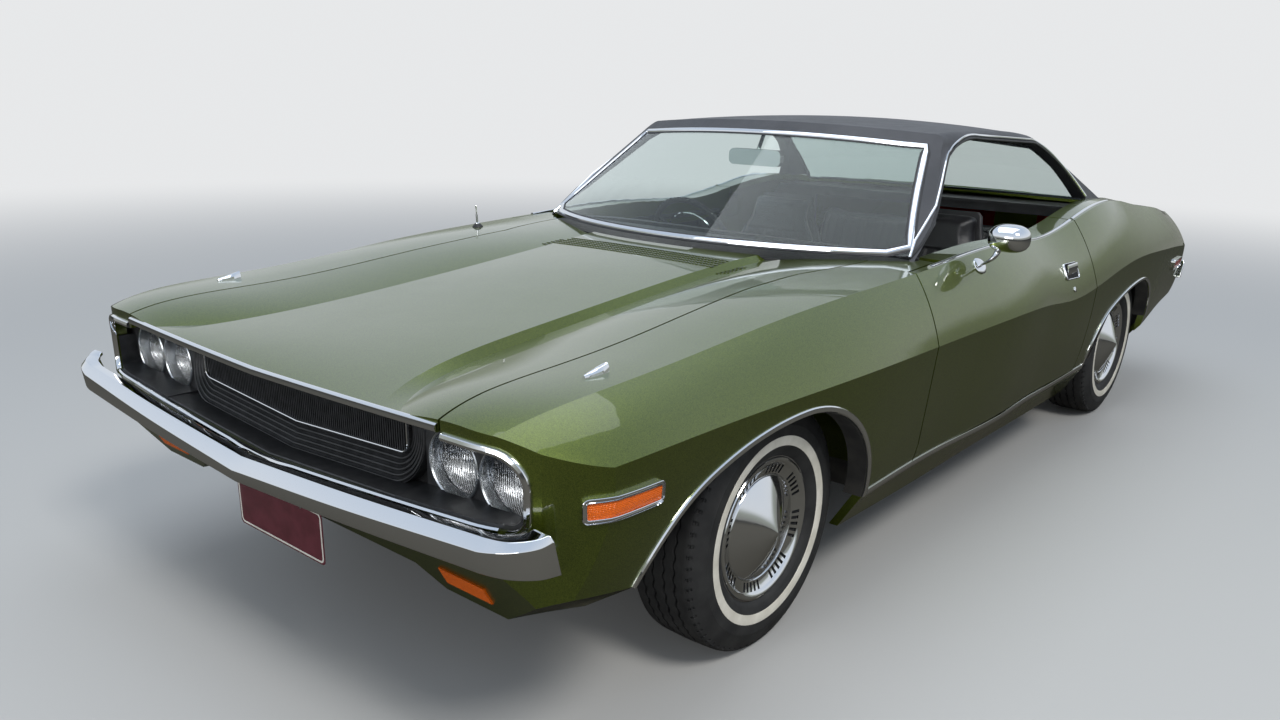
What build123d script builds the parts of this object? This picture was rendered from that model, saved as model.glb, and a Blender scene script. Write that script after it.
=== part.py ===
from build123d import *
import os
from collections import namedtuple

# Muscle car, a two-door hardtop. Millimetres, +X to the nose, +Y to the car's left, +Z up.
# The origin is on the ground at mid-length.

# Overall sizes
LENGTH = 4859.0
HEIGHT = 1293.0
WHEELBASE = 2794.0
FRONT_OVERHANG = 947.0
FRONT_TRACK = 1516.0
REAR_TRACK = 1542.0
TYRE_RADIUS = 328.0
TYRE_WIDTH = 205.0
RIM_RADIUS = 192.0

NOSE_X = LENGTH / 2
TAIL_X = -LENGTH / 2
FRONT_AXLE_X = NOSE_X - FRONT_OVERHANG
REAR_AXLE_X = FRONT_AXLE_X - WHEELBASE

# The tables below are written for a standard car. A change of length or wheelbase moves
# their places along the car and leaves the zones at the axles and the ends as they are.
STANDARD_ENDS = (-2429.5, -1311.5, 1482.5, 2429.5)
STANDARD_HEIGHT = 1293.0
AXLE_ZONE = 430.0
END_ZONE = 200.0
SHOULDER_Z = 985.0
REACH = 5000.0


def zone_marks(tail, rear_axle, front_axle, nose):
    return (tail, tail + END_ZONE, rear_axle - AXLE_ZONE, rear_axle + AXLE_ZONE,
            front_axle - AXLE_ZONE, front_axle + AXLE_ZONE, nose - END_ZONE, nose)


def along(x):
    """The place on this car that matches a place along the standard car."""
    standard = zone_marks(*STANDARD_ENDS)
    actual = zone_marks(TAIL_X, REAR_AXLE_X, FRONT_AXLE_X, NOSE_X)
    if x <= standard[0]:
        return actual[0] + x - standard[0]
    for number in range(len(standard) - 1):
        if x <= standard[number + 1]:
            share = (x - standard[number]) / (standard[number + 1] - standard[number])
            return actual[number] + share * (actual[number + 1] - actual[number])
    return actual[-1] + x - standard[-1]


def above(z):
    """The height on this car that matches a height of the standard car's cabin."""
    if z <= SHOULDER_Z:
        return z
    stretch = (HEIGHT - SHOULDER_Z) / (STANDARD_HEIGHT - SHOULDER_Z)
    return SHOULDER_Z + (z - SHOULDER_Z) * stretch


def in_side_view(*points):
    return tuple((along(x), above(z)) for x, z in points)


def in_plan(*points):
    return tuple((along(x), y) for x, y in points)


# Walls and gaps
SKIN = 28.0
DOOR_THICKNESS = 95.0
ROOF_WALL = 34.0
GLASS = 6.0
SHUT_GAP = 6.0
SEAT_GAP = 0.3

# The body below the belt line, one row for each cross-section from nose to tail:
# x, height on the centre line, edge and foot of the raised hood, fender ridge or belt,
# widest crease, lower edge of the body side, edge of the underside and bow of the deck
Station = namedtuple("Station", "x top_z edge_y edge_z foot_y foot_z belt_y belt_z "
                                "crease_y crease_z tuck_y tuck_z under_y under_z deck_bow")
STATIONS = [
    Station(2362, 752, 480, 758, 545, 761, 775, 757, 868, 690, 856, 466, 700, 350, 8),
    Station(2250, 776, 405, 771, 450, 764, 800, 794, 932, 712, 908, 458, 720, 345, 18),
    Station(2080, 792, 350, 787, 374, 769, 809, 811, 953, 720, 918, 426, 780, 330, 18),
    Station(1500, 842, 318, 837, 340, 817, 813, 851, 963, 717, 925, 350, 855, 240, 18),
    Station(1000, 888, 330, 882, 350, 864, 838, 882, 966, 710, 918, 335, 855, 222, 16),
    Station(500, 912, 400, 909, 440, 905, 850, 905, 966, 706, 910, 322, 850, 215, 2),
    Station(-100, 915, 400, 912, 440, 909, 852, 902, 966, 694, 905, 315, 850, 215, 2),
    Station(-560, 950, 400, 948, 440, 946, 852, 938, 966, 688, 905, 312, 850, 215, 2),
    Station(-860, 985, 400, 982, 440, 979, 850, 978, 966, 724, 908, 318, 850, 220, 2),
    Station(-1150, 985, 400, 982, 440, 979, 836, 972, 962, 743, 915, 330, 850, 235, 2),
    Station(-1500, 950, 400, 946, 440, 942, 815, 930, 948, 733, 915, 360, 845, 270, 3),
    Station(-1950, 905, 400, 902, 440, 899, 795, 884, 918, 706, 885, 410, 820, 330, 3),
    Station(-2450, 868, 400, 866, 440, 864, 760, 852, 872, 668, 840, 460, 780, 380, 3),
]
SIDE_BOW = 10.0
SHOULDER_BOW = 12.0

# The cabin above the belt: x, half-width and height at its foot, where the side meets the
# rail, where the rail meets the roof, and height of the roof on the centre line
CabinStation = namedtuple("CabinStation", "x foot_y foot_z side_y side_z rail_y rail_z top_z")
CABIN_STATIONS = [
    CabinStation(900, 862, 840, 640, 1150, 590, 1185, 1215),
    CabinStation(500, 856, 840, 640, 1195, 585, 1232, 1262),
    CabinStation(200, 850, 840, 640, 1215, 580, 1256, 1286),
    CabinStation(-100, 848, 840, 638, 1220, 578, 1262, 1293),
    CabinStation(-450, 846, 840, 634, 1212, 572, 1254, 1285),
    CabinStation(-750, 842, 850, 640, 1180, 560, 1228, 1256),
    CabinStation(-1050, 832, 850, 690, 1080, 560, 1170, 1196),
    CabinStation(-1400, 815, 850, 740, 970, 560, 1080, 1100),
]

# Windscreen and rear window: both are curved sheets that lean from their foot to their head
SCREEN_FOOT_X = along(875.0)
SCREEN_FOOT_Z = 915.0
SCREEN_HEAD_X = along(337.0)
HEAD_Z = above(1262.0)
SCREEN_RADIUS = 1250.0
SCREEN_LEAN = (SCREEN_FOOT_X - SCREEN_HEAD_X) / (HEAD_Z - SCREEN_FOOT_Z)
BACKLIGHT_FOOT_X = along(-1290.0)
BACKLIGHT_FOOT_Z = 950.0
BACKLIGHT_HEAD_X = along(-650.0)
BACKLIGHT_RADIUS = 4600.0
BACKLIGHT_LEAN = (BACKLIGHT_HEAD_X - BACKLIGHT_FOOT_X) / (HEAD_Z - BACKLIGHT_FOOT_Z)

OPEN_BELOW = 40.0


def body_form(inset=0.0, drop=0.0):
    """The closed form of the lower body, or the same form shrunk by a wall."""
    with BuildPart() as form:
        for row in STATIONS:
            section_plane = Plane(origin=(along(row.x), 0, 0), x_dir=(0, 1, 0), z_dir=(1, 0, 0))
            stretch = 1 + drop / (row.tuck_z - row.under_z)
            under = (row.tuck_y - inset - (row.tuck_y - row.under_y) * stretch, row.under_z - drop)
            tuck = (row.tuck_y - inset, row.tuck_z)
            crease = (row.crease_y - inset, row.crease_z)
            belt = (row.belt_y - inset, row.belt_z - inset)
            foot = (row.foot_y, row.foot_z - inset)
            edge = (row.edge_y, row.edge_z - inset)
            side_mid = ((tuck[0] + crease[0]) / 2 + SIDE_BOW, (tuck[1] + crease[1]) / 2)
            shoulder_mid = ((belt[0] + crease[0]) / 2 + SHOULDER_BOW,
                            (belt[1] + crease[1]) / 2 + SHOULDER_BOW / 2)
            deck_mid = ((belt[0] + foot[0]) / 2, (belt[1] + foot[1]) / 2 + row.deck_bow)
            with BuildSketch(section_plane):
                with BuildLine():
                    Line(under, tuck)
                    ThreePointArc(tuck, side_mid, crease)
                    ThreePointArc(crease, shoulder_mid, belt)
                    ThreePointArc(belt, deck_mid, foot)
                    Line(foot, edge)
                    ThreePointArc(edge, (0, row.top_z - inset), (-edge[0], edge[1]))
                    Line((-edge[0], edge[1]), (-foot[0], foot[1]))
                    ThreePointArc((-foot[0], foot[1]), (-deck_mid[0], deck_mid[1]),
                                  (-belt[0], belt[1]))
                    ThreePointArc((-belt[0], belt[1]), (-shoulder_mid[0], shoulder_mid[1]),
                                  (-crease[0], crease[1]))
                    ThreePointArc((-crease[0], crease[1]), (-side_mid[0], side_mid[1]),
                                  (-tuck[0], tuck[1]))
                    Line((-tuck[0], tuck[1]), (-under[0], under[1]))
                    Line((-under[0], under[1]), under)
                make_face()
        loft()
    return form.part


def cabin_form(inset=0.0, drop=0.0):
    """The closed form of the cabin above the belt, or the same form shrunk by a wall."""
    with BuildPart() as form:
        for row in CABIN_STATIONS:
            section_plane = Plane(origin=(along(row.x), 0, 0), x_dir=(0, 1, 0), z_dir=(1, 0, 0))
            foot = (row.foot_y - inset, row.foot_z - drop)
            side = (row.side_y - inset, above(row.side_z) - inset / 2)
            rail = (row.rail_y - inset / 2, above(row.rail_z) - inset)
            crown = (0, above(row.top_z) - inset)
            bend = ((side[0] + rail[0]) / 2 + 12, (side[1] + rail[1]) / 2 + 8)
            with BuildSketch(section_plane):
                with BuildLine():
                    Line(foot, side)
                    ThreePointArc(side, bend, rail)
                    ThreePointArc(rail, crown, (-rail[0], rail[1]))
                    ThreePointArc((-rail[0], rail[1]), (-bend[0], bend[1]), (-side[0], side[1]))
                    Line((-side[0], side[1]), (-foot[0], foot[1]))
                    Line((-foot[0], foot[1]), foot)
                make_face()
        loft()
    return form.part


# Front end. Each row of the corner: how far back from the nose, how far off the centre line
# and how much of a wall's inset is taken across the car
NOSE_FACE_X = NOSE_X - 77.5
Corner = namedtuple("Corner", "back y share")
NOSE_CORNER = (Corner(17, 700, 0), Corner(32, 800, 0.2), Corner(62, 868, 0.5),
               Corner(127, 925, 0.8), Corner(262, 962, 1))
CORNER_Y = 700.0
SIDE_Y = 985.0
FACE_X = NOSE_FACE_X - 152.0
FACE_TOP_Z = 738.0
FACE_BOTTOM_Z = 541.0
FACE_RISE = 50.0
FACE_END_Y = 838.0
HOOD_CLEARANCE = 6.0
GRILLE_HALF_WIDTH = 488.0
GRILLE_X = NOSE_FACE_X - 117.0
GRILLE_SHEET = 6.0
SHELF_DEPTH = 17.0
TRAYS = 6
TRAY_PITCH = 11.0
TRAY_STEP_Y = 9.0
TRAY_STEP_X = 6.5
LAMP_RADIUS = 70.0
LAMP_Z = 645.0
LAMP_CENTRES_Y = (578.0, 734.0)
BEZEL_X = NOSE_FACE_X - 134.0
BEZEL_DEPTH = 34.0
BEZEL_SHEET = 8.0
VALANCE_TOP_Z = 545.0
CHIN_Z = 392.0

# Tail
TAIL_FACE_X = TAIL_X + 94.5
TAIL_LAMP_Z = (668.0, 768.0)
TAIL_LAMP_Y = (120.0, 660.0)

# Doors: side-view outline, hinge pins close inside the widest crease
DOOR_EDGE = in_side_view((762, 912), (828, 700), (806, 400))
DOOR_REAR = in_side_view((-556, 940), (-588, 690), (-634, 400))
DOOR_BOTTOM_Z = 346.0
JAMB_STEP = 12.0

# Hood and trunk lid, left half of each outline in plan
HOOD_SIDE = in_plan((2350, 644), (2218, 629), (1900, 613), (1560, 600), (1267, 590), (1026, 602))
HOOD_CORNER = in_plan((1026, 602), (880, 636), (735, 655))
HOOD_BOTTOM_Z = 740.0
HOOD_EDGE_RISE = 18.0
HOOD_REAR_MARGIN = 16.0
LID_FRONT_X = along(-1352.0)
LID_REAR_X = along(-2290.0)
LID_FRONT_Y = 610.0
LID_REAR_Y = 575.0

ROCKER_X = (along(-960.0), along(1085.0))

# Wheel arches in side view: rear foot, haunch, crown, haunch and front foot
FRONT_ARCH = in_side_view((1125, 330), (1290, 590), (1530, 667), (1880, 604), (2081, 424))
REAR_ARCH = in_side_view((-1600, 420), (-1480, 569), (-1290, 628), (-900, 558), (-760, 340))

# Cabin opening and side windows
CABIN_OPENING_Y = 752.0
POST_Y = 818.0
WINDOW_FRONT = in_side_view((648, 890), (222, 1178))
WINDOW_TOP = in_side_view((222, 1178), (74, 1226), (-91, 1234))
WINDOW_REAR = in_side_view((-640, 1208), (-800, 1150), (-985, 985))

# Floor heights along the car: front, rear-seat pan, over the axle, luggage floor
FLOOR_LINE = in_side_view((888, 330), (820, 215), (-640, 215), (-700, 380), (-1010, 380),
                          (-1060, 480), (-1640, 480), (-1720, 330), (-2300, 330))
FLOOR_SHEET = 20.0
TUNNEL_WALL = 20.0
TUNNEL_HALF_WIDTH = 130.0
TUNNEL_TOP_Z = 400.0
WHEELHOUSE_Y = 640.0
WHEELHOUSE_RADIUS = TYRE_RADIUS + 34.0
RAIL_Y = 400.0

KINGPIN_Y = 700.0
KINGPIN_RADIUS = 12.0
SPINDLE_RADIUS = 18.0
RUNNING_FIT = 0.1
WHEEL_SEAT_Y = 742.0

COLUMN_RAKE = 25.0
STEERING_CENTRE = (along(227.0), -370.0, 803.0)
STEERING_RADIUS = 190.0


def side_prism(corners, near, far, rounded=0.0):
    """A side-view outline carried from one distance off the centre line to another."""
    with BuildPart() as prism:
        with BuildSketch(Plane.XZ.offset(-far)) as outline:
            with BuildLine():
                Polyline(*corners, close=True)
            make_face()
            if rounded:
                fillet(outline.vertices(), rounded)
        extrude(amount=far - near)
    return prism.part


def plan_prism(corners, low, high):
    """An outline in plan carried up from one height to another."""
    with BuildPart() as prism:
        with BuildSketch(Plane.XY.offset(low)):
            with BuildLine():
                Polyline(*corners, close=True)
            make_face()
        extrude(amount=high - low)
    return prism.part


def block(low, high):
    """A plain block between two opposite corners."""
    corners = ((low[0], low[1]), (high[0], low[1]), (high[0], high[1]), (low[0], high[1]))
    return plan_prism(corners, low[2], high[2])


def other_side(part):
    """The same piece on the right of the car."""
    return mirror(part, about=Plane.XZ)


def rod(start, end, radius):
    """A round bar from one point to another."""
    way = Vector(*end) - Vector(*start)
    with BuildPart() as bar:
        with BuildSketch(Plane(origin=start, z_dir=way)):
            Circle(radius)
        extrude(amount=way.length)
    return bar.part


def envelope(inset=0.0):
    """Plan outline of nose and tail with the undercut valances below the bumpers."""
    nose = NOSE_FACE_X - inset
    tail = TAIL_FACE_X + inset
    with BuildPart() as plan:
        with BuildSketch(Plane.XY.offset(-200)):
            with BuildLine():
                for side in (1, -1):
                    bend = [(nose - row.back, side * (row.y - inset * row.share)) for row in NOSE_CORNER]
                    ThreePointArc(*bend[:3])
                    ThreePointArc(*bend[2:])
                    Polyline(bend[4], (bend[4][0] - 160, side * SIDE_Y), (tail + 120, side * SIDE_Y))
                    ThreePointArc((tail + 120, side * SIDE_Y), (tail + 45, side * 860),
                                  (tail + 20, side * CORNER_Y))
                ThreePointArc((nose - NOSE_CORNER[0].back, -CORNER_Y), (nose, 0),
                              (nose - NOSE_CORNER[0].back, CORNER_Y))
                ThreePointArc((tail + 20, CORNER_Y), (tail, 0), (tail + 20, -CORNER_Y))
            make_face()
        extrude(amount=1600)
        add(side_prism(((nose + 60, 1400), (nose + 60, VALANCE_TOP_Z + 10), (nose, VALANCE_TOP_Z),
                        (nose - 390, -190), (tail + 400, -190), (tail, VALANCE_TOP_Z),
                        (tail - 60, VALANCE_TOP_Z + 10), (tail - 60, 1400)), -1000, 1000),
            mode=Mode.INTERSECT)
    return plan.part


def sag(y, radius):
    return radius - (radius ** 2 - y ** 2) ** 0.5


def leaning_sheet(front, back, foot_x, foot_z, radius, lean, low, high, half=1000.0):
    """A sheet curved in plan that leans back as it rises, between two offsets from its line."""
    way = 1 if lean > 0 else -1
    shift = foot_x - lean * (low - foot_z)
    edge = shift - way * sag(half, radius)
    with BuildPart() as sheet:
        with BuildSketch(Plane.XY.offset(low)):
            with BuildLine():
                ThreePointArc((edge + front, -half), (shift + front, 0), (edge + front, half))
                Line((edge + front, half), (edge + back, half))
                ThreePointArc((edge + back, half), (shift + back, 0), (edge + back, -half))
                Line((edge + back, -half), (edge + front, -half))
            make_face()
        extrude(amount=(high - low) * (1 + lean ** 2) ** 0.5, dir=(-lean, 0, 1))
    return sheet.part


def screen_sheet(front, back, low=780.0, high=HEIGHT + 40):
    return leaning_sheet(front, back, SCREEN_FOOT_X, SCREEN_FOOT_Z, SCREEN_RADIUS,
                         SCREEN_LEAN, low, high)


def backlight_sheet(front, back, low=780.0, high=HEIGHT + 40):
    return leaning_sheet(front, back, BACKLIGHT_FOOT_X, BACKLIGHT_FOOT_Z, BACKLIGHT_RADIUS,
                         -BACKLIGHT_LEAN, low, high)


def hood_prism(gap=0.0):
    """The hood's outline in plan, or the hole it closes when a gap is given."""
    rear = SCREEN_FOOT_X + HOOD_REAR_MARGIN - gap
    left = [(x, y + gap) for x, y in HOOD_SIDE]
    left[0] = (NOSE_FACE_X + 40, left[0][1])
    corner = [(x, y + gap) for x, y in HOOD_CORNER]
    end = (rear - sag(corner[2][1], SCREEN_RADIUS), corner[2][1])
    right = [(x, -y) for x, y in left]
    with BuildPart() as prism:
        with BuildSketch(Plane.XY.offset(640)):
            with BuildLine():
                Line(right[0], left[0])
                Polyline(*left)
                ThreePointArc(corner[0], corner[1], corner[2])
                Line(corner[2], end)
                ThreePointArc(end, (rear, 0), (end[0], -end[1]))
                Line((end[0], -end[1]), (corner[2][0], -corner[2][1]))
                ThreePointArc((corner[2][0], -corner[2][1]), (corner[1][0], -corner[1][1]),
                              (corner[0][0], -corner[0][1]))
                Polyline(*reversed(right))
            make_face()
        extrude(amount=400)
    return prism.part


def lid_prism(gap=0.0):
    """The trunk lid's outline in plan, or the hole it closes when a gap is given."""
    front = LID_FRONT_X + gap
    rear = LID_REAR_X - gap
    return plan_prism(((front, -LID_FRONT_Y - gap), (front, LID_FRONT_Y + gap),
                       (rear, LID_REAR_Y + gap), (rear, -LID_REAR_Y - gap)), 780, 1200)


def door_prism(grow=0.0, near=300.0):
    """The door's outline in side view, carried out from inside the cabin."""
    front = [(x + grow, z) for x, z in DOOR_EDGE]
    rear = [(x - grow, z) for x, z in DOOR_REAR]
    bottom = DOOR_BOTTOM_Z - grow
    with BuildPart() as prism:
        with BuildSketch(Plane.XZ.offset(-1100)):
            with BuildLine():
                Line((front[0][0], 1300), front[0])
                ThreePointArc(front[0], front[1], front[2])
                Line(front[2], (front[2][0], bottom))
                Line((front[2][0], bottom), (rear[2][0], bottom))
                Line((rear[2][0], bottom), rear[2])
                ThreePointArc(rear[2], rear[1], rear[0])
                Line(rear[0], (rear[0][0], 1300))
                Line((rear[0][0], 1300), (front[0][0], 1300))
            make_face()
        extrude(amount=1100 - near)
    return prism.part


def arch_prism(arch):
    """A wheel arch in side view, open to the ground."""
    with BuildPart() as prism:
        with BuildSketch(Plane.XZ.offset(-1100)):
            with BuildLine():
                rear = ThreePointArc(*arch[:3])
                middle = TangentArc(arch[2], arch[3], tangent=rear % 1)
                TangentArc(arch[3], arch[4], tangent=middle % 1)
                Polyline(arch[4], (arch[4][0], 50), (arch[0][0], 50), arch[0])
            make_face()
        extrude(amount=500)
    return prism.part


def window_prism():
    """The pillarless side opening above the belt."""
    with BuildPart() as prism:
        with BuildSketch(Plane.XZ.offset(-1100)):
            with BuildLine():
                Line((WINDOW_FRONT[0][0], 700), WINDOW_FRONT[0])
                Line(*WINDOW_FRONT)
                ThreePointArc(*WINDOW_TOP)
                Line(WINDOW_TOP[2], WINDOW_REAR[0])
                ThreePointArc(*WINDOW_REAR)
                Line(WINDOW_REAR[2], (WINDOW_REAR[2][0], 700))
                Line((WINDOW_REAR[2][0], 700), (WINDOW_FRONT[0][0], 700))
            make_face()
        extrude(amount=700)
    return prism.part


def face_prism(lip=0.0):
    """The opening in the nose for grille and lamps, or the room left inside a lip."""
    low = FACE_BOTTOM_Z + lip
    high = FACE_TOP_Z - lip
    end_y = FACE_END_Y - lip
    low_end = low + FACE_RISE
    with BuildPart() as prism:
        with BuildSketch(Plane.YZ.offset(FACE_X)):
            with BuildLine():
                Line((0, high), (end_y - 60, high))
                RadiusArc((end_y - 60, high), (end_y, high - 60), 60)
                Line((end_y, high - 60), (end_y, low_end + 30))
                RadiusArc((end_y, low_end + 30), (end_y - 30, low_end), 30)
                Line((end_y - 30, low_end), (0, low))
                Line((0, low), (0, high))
            make_face()
        extrude(amount=250)
        mirror(about=Plane.XZ)
    return prism.part


def save(part, label, colour):
    part.label = label
    part.color = Color(*colour)
    export_step(part, f"parts/{label}.step")


GREEN = (0.24, 0.33, 0.12)
BLACK = (0.05, 0.05, 0.06)
CHROME = (0.75, 0.76, 0.78)
GREY = (0.3, 0.3, 0.32)
CLEAR = (0.6, 0.75, 0.78)
AMBER = (0.9, 0.4, 0.05)
RED = (0.6, 0.05, 0.05)

os.makedirs("parts", exist_ok=True)

# Outer and inner surfaces of the lower body
with BuildPart() as outer_form:
    add(body_form())
    add(envelope(), mode=Mode.INTERSECT)

with BuildPart() as inner_form:
    add(body_form(SKIN, OPEN_BELOW))
    add(envelope(SKIN), mode=Mode.INTERSECT)

with BuildPart() as body_skin:
    add(outer_form.part)
    add(inner_form.part, mode=Mode.SUBTRACT)

# What a closed hood, lid or door rests on lies just inside it
with BuildPart() as hood_seat:
    add(body_form(SKIN + SEAT_GAP, OPEN_BELOW))
    add(envelope(SKIN), mode=Mode.INTERSECT)

door_seat = body_form(DOOR_THICKNESS + SEAT_GAP, OPEN_BELOW)

with BuildPart() as cabin_inner:
    add(cabin_form(ROOF_WALL, 60))

hood_hole = hood_prism(SHUT_GAP)
lid_hole = lid_prism(SHUT_GAP)
screen_ahead = screen_sheet(900, 0)
backlight_behind = backlight_sheet(0, -1400)
nose_lower = block((FACE_X - 100, -CORNER_Y - 10, 100),
                   (REACH, CORNER_Y + 10, FACE_BOTTOM_Z + FACE_RISE + 7))

# Hood
with BuildPart() as hood:
    add(body_skin.part)
    add(hood_prism(), mode=Mode.INTERSECT)
    with BuildSketch(Plane.YZ.offset(along(600))):
        with BuildLine():
            Polyline((0, HOOD_BOTTOM_Z), (1000, HOOD_BOTTOM_Z + HOOD_EDGE_RISE),
                     (1000, 1200), (-1000, 1200), (-1000, HOOD_BOTTOM_Z + HOOD_EDGE_RISE), close=True)
        make_face()
    extrude(amount=REACH, mode=Mode.INTERSECT)
save(hood.part, "hood", GREEN)

# Trunk lid
with BuildPart() as trunk_lid:
    add(body_skin.part)
    add(lid_prism(), mode=Mode.INTERSECT)
save(trunk_lid.part, "trunk_lid", GREEN)

# Front fenders
with BuildPart() as left_front_fender:
    add(body_skin.part)
    add(block((DOOR_EDGE[0][0] - 40, 2, 100), (REACH, 1000, 1200)), mode=Mode.INTERSECT)
    add(door_prism(SHUT_GAP), mode=Mode.SUBTRACT)
    add(block((along(600), 0, 700), (DOOR_EDGE[0][0] + SHUT_GAP, 1100, 1200)), mode=Mode.SUBTRACT)
    add(block((along(600), 0, 700), (SCREEN_FOOT_X + 25, 580, 1200)), mode=Mode.SUBTRACT)
    add(hood_hole, mode=Mode.SUBTRACT)
    add(arch_prism(FRONT_ARCH), mode=Mode.SUBTRACT)
    add(face_prism(), mode=Mode.SUBTRACT)
    add(nose_lower, mode=Mode.SUBTRACT)
    add(block((0, 0, 100), (ROCKER_X[1], 1100, DOOR_BOTTOM_Z - SHUT_GAP)), mode=Mode.SUBTRACT)
save(left_front_fender.part, "left_front_fender", GREEN)
save(other_side(left_front_fender.part), "right_front_fender", GREEN)

# Valance under the grille
with BuildPart() as front_valance:
    add(body_skin.part)
    add(nose_lower, mode=Mode.INTERSECT)
    add(face_prism(), mode=Mode.SUBTRACT)
    with BuildSketch(Plane.YZ.offset(FACE_X - 100)):
        with BuildLine():
            Polyline((-540, 100), (-540, CHIN_Z - 55), (-455, CHIN_Z), (455, CHIN_Z),
                     (540, CHIN_Z - 55), (540, 100), close=True)
        make_face()
    extrude(amount=400, mode=Mode.SUBTRACT)
save(front_valance.part, "front_valance", GREEN)

# Quarter panels, each with the lock pillar and the lip that the closed door rests on
REAR_TYRE_SIDE_Y = (REAR_TRACK + TYRE_WIDTH) / 2
TYRE_ROOM = 12.0
PILLAR_X = (DOOR_REAR[2][0] - 58, DOOR_REAR[2][0] - 28)
LIP_X = DOOR_REAR[1][0] + 13
with BuildPart() as door_lip:
    add(block((PILLAR_X[1] - 5, 780, 380), (LIP_X, 1000, 800)))
    add(door_seat, mode=Mode.INTERSECT)
with BuildPart() as lock_pillar:
    add(block((PILLAR_X[0], 780, DOOR_BOTTOM_Z - SHUT_GAP), (PILLAR_X[1], 1000, 900)))
    add(inner_form.part, mode=Mode.INTERSECT)
    add(door_lip.part)

with BuildPart() as left_quarter_panel:
    add(body_skin.part)
    add(block((-REACH, 2, 100), (DOOR_REAR[0][0] + 60, 1000, 1300)), mode=Mode.INTERSECT)
    add(door_prism(SHUT_GAP), mode=Mode.SUBTRACT)
    add(lid_hole, mode=Mode.SUBTRACT)
    add(block((BACKLIGHT_FOOT_X + 10, -10, 600), (0, CABIN_OPENING_Y, 1300)), mode=Mode.SUBTRACT)
    add(arch_prism(REAR_ARCH), mode=Mode.SUBTRACT)
    add(rod((REAR_AXLE_X, 0, TYRE_RADIUS), (REAR_AXLE_X, REAR_TYRE_SIDE_Y + TYRE_ROOM, TYRE_RADIUS),
            TYRE_RADIUS + 2 * TYRE_ROOM), mode=Mode.SUBTRACT)
    add(block((-REACH, -10, 100), (LID_REAR_X - SHUT_GAP, 690, 1300)), mode=Mode.SUBTRACT)
    add(block((ROCKER_X[0], -10, 100), (0, 1100, DOOR_BOTTOM_Z - SHUT_GAP)), mode=Mode.SUBTRACT)
    add(lock_pillar.part)
save(left_quarter_panel.part, "left_quarter_panel", GREEN)
save(other_side(left_quarter_panel.part), "right_quarter_panel", GREEN)

# Tail panel with the openings of its lamps and the stop that the lid rests on
with BuildPart() as stop:
    add(block((TAIL_FACE_X + 17, -60, 780), (LID_REAR_X + 30, 60, 900)))
    add(hood_seat.part, mode=Mode.INTERSECT)
lid_stop = stop.part
with BuildPart() as tail_panel:
    add(body_skin.part)
    add(block((-REACH, -690, 100), (LID_REAR_X - SHUT_GAP, 690, 1300)), mode=Mode.INTERSECT)
    for side in (1, -1):
        ends = sorted((side * TAIL_LAMP_Y[0], side * TAIL_LAMP_Y[1]))
        add(block((-REACH, ends[0], TAIL_LAMP_Z[0]), (TAIL_FACE_X + 135, ends[1], TAIL_LAMP_Z[1])),
            mode=Mode.SUBTRACT)
    add(lid_stop)
save(tail_panel.part, "tail_panel", GREEN)

with BuildPart() as tail_lamps:
    add(outer_form.part)
    add(block((TAIL_FACE_X - 10, -TAIL_LAMP_Y[1], TAIL_LAMP_Z[0]),
              (TAIL_FACE_X + 26, TAIL_LAMP_Y[1], TAIL_LAMP_Z[1])), mode=Mode.INTERSECT)
    add(block((-REACH, -TAIL_LAMP_Y[0], 500), (0, TAIL_LAMP_Y[0], 900)), mode=Mode.SUBTRACT)
save(tail_lamps.part, "tail_lamps", RED)

# Rocker panels
with BuildPart() as rocker_panels:
    add(body_skin.part)
    add(block((ROCKER_X[0], -1000, 100), (ROCKER_X[1], 1000, DOOR_BOTTOM_Z - SHUT_GAP)),
        mode=Mode.INTERSECT)
    for arch in (FRONT_ARCH, REAR_ARCH):
        for wheel_arch in (arch_prism(arch), other_side(arch_prism(arch))):
            add(wheel_arch, mode=Mode.SUBTRACT)
save(rocker_panels.part, "rocker_panels", GREEN)

# Doors: an outer skin and a thicker inner panel stepped in all round
door_depth = body_form(DOOR_THICKNESS, OPEN_BELOW)
with BuildPart() as jamb_step:
    add(door_prism(near=300))
    add(door_prism(-JAMB_STEP, near=300), mode=Mode.SUBTRACT)
    add(inner_form.part, mode=Mode.INTERSECT)
with BuildPart() as left_door:
    add(outer_form.part)
    add(door_depth, mode=Mode.SUBTRACT)
    add(door_prism(near=CABIN_OPENING_Y), mode=Mode.INTERSECT)
    add(jamb_step.part, mode=Mode.SUBTRACT)
    add(block((along(560), 0, 600), (along(900), POST_Y + 7, 1300)), mode=Mode.SUBTRACT)
save(left_door.part, "left_door", GREEN)
save(other_side(left_door.part), "right_door", GREEN)

# Roof with windscreen pillars and sail panels
with BuildPart() as roof:
    add(cabin_form())
    add(cabin_inner.part, mode=Mode.SUBTRACT)
    add(outer_form.part, mode=Mode.SUBTRACT)
    add(screen_ahead, mode=Mode.SUBTRACT)
    add(backlight_behind, mode=Mode.SUBTRACT)
    add(window_prism(), mode=Mode.SUBTRACT)
    add(other_side(window_prism()), mode=Mode.SUBTRACT)
save(roof.part, "roof", BLACK)

GLASS_BOTTOM_Z = 912.0
with BuildPart() as windscreen:
    add(cabin_inner.part)
    add(screen_sheet(0, -GLASS * (1 + SCREEN_LEAN ** 2) ** 0.5), mode=Mode.INTERSECT)
    add(block((along(0), -1000, GLASS_BOTTOM_Z), (REACH, 1000, REACH)), mode=Mode.INTERSECT)
save(windscreen.part, "windscreen", CLEAR)

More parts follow.
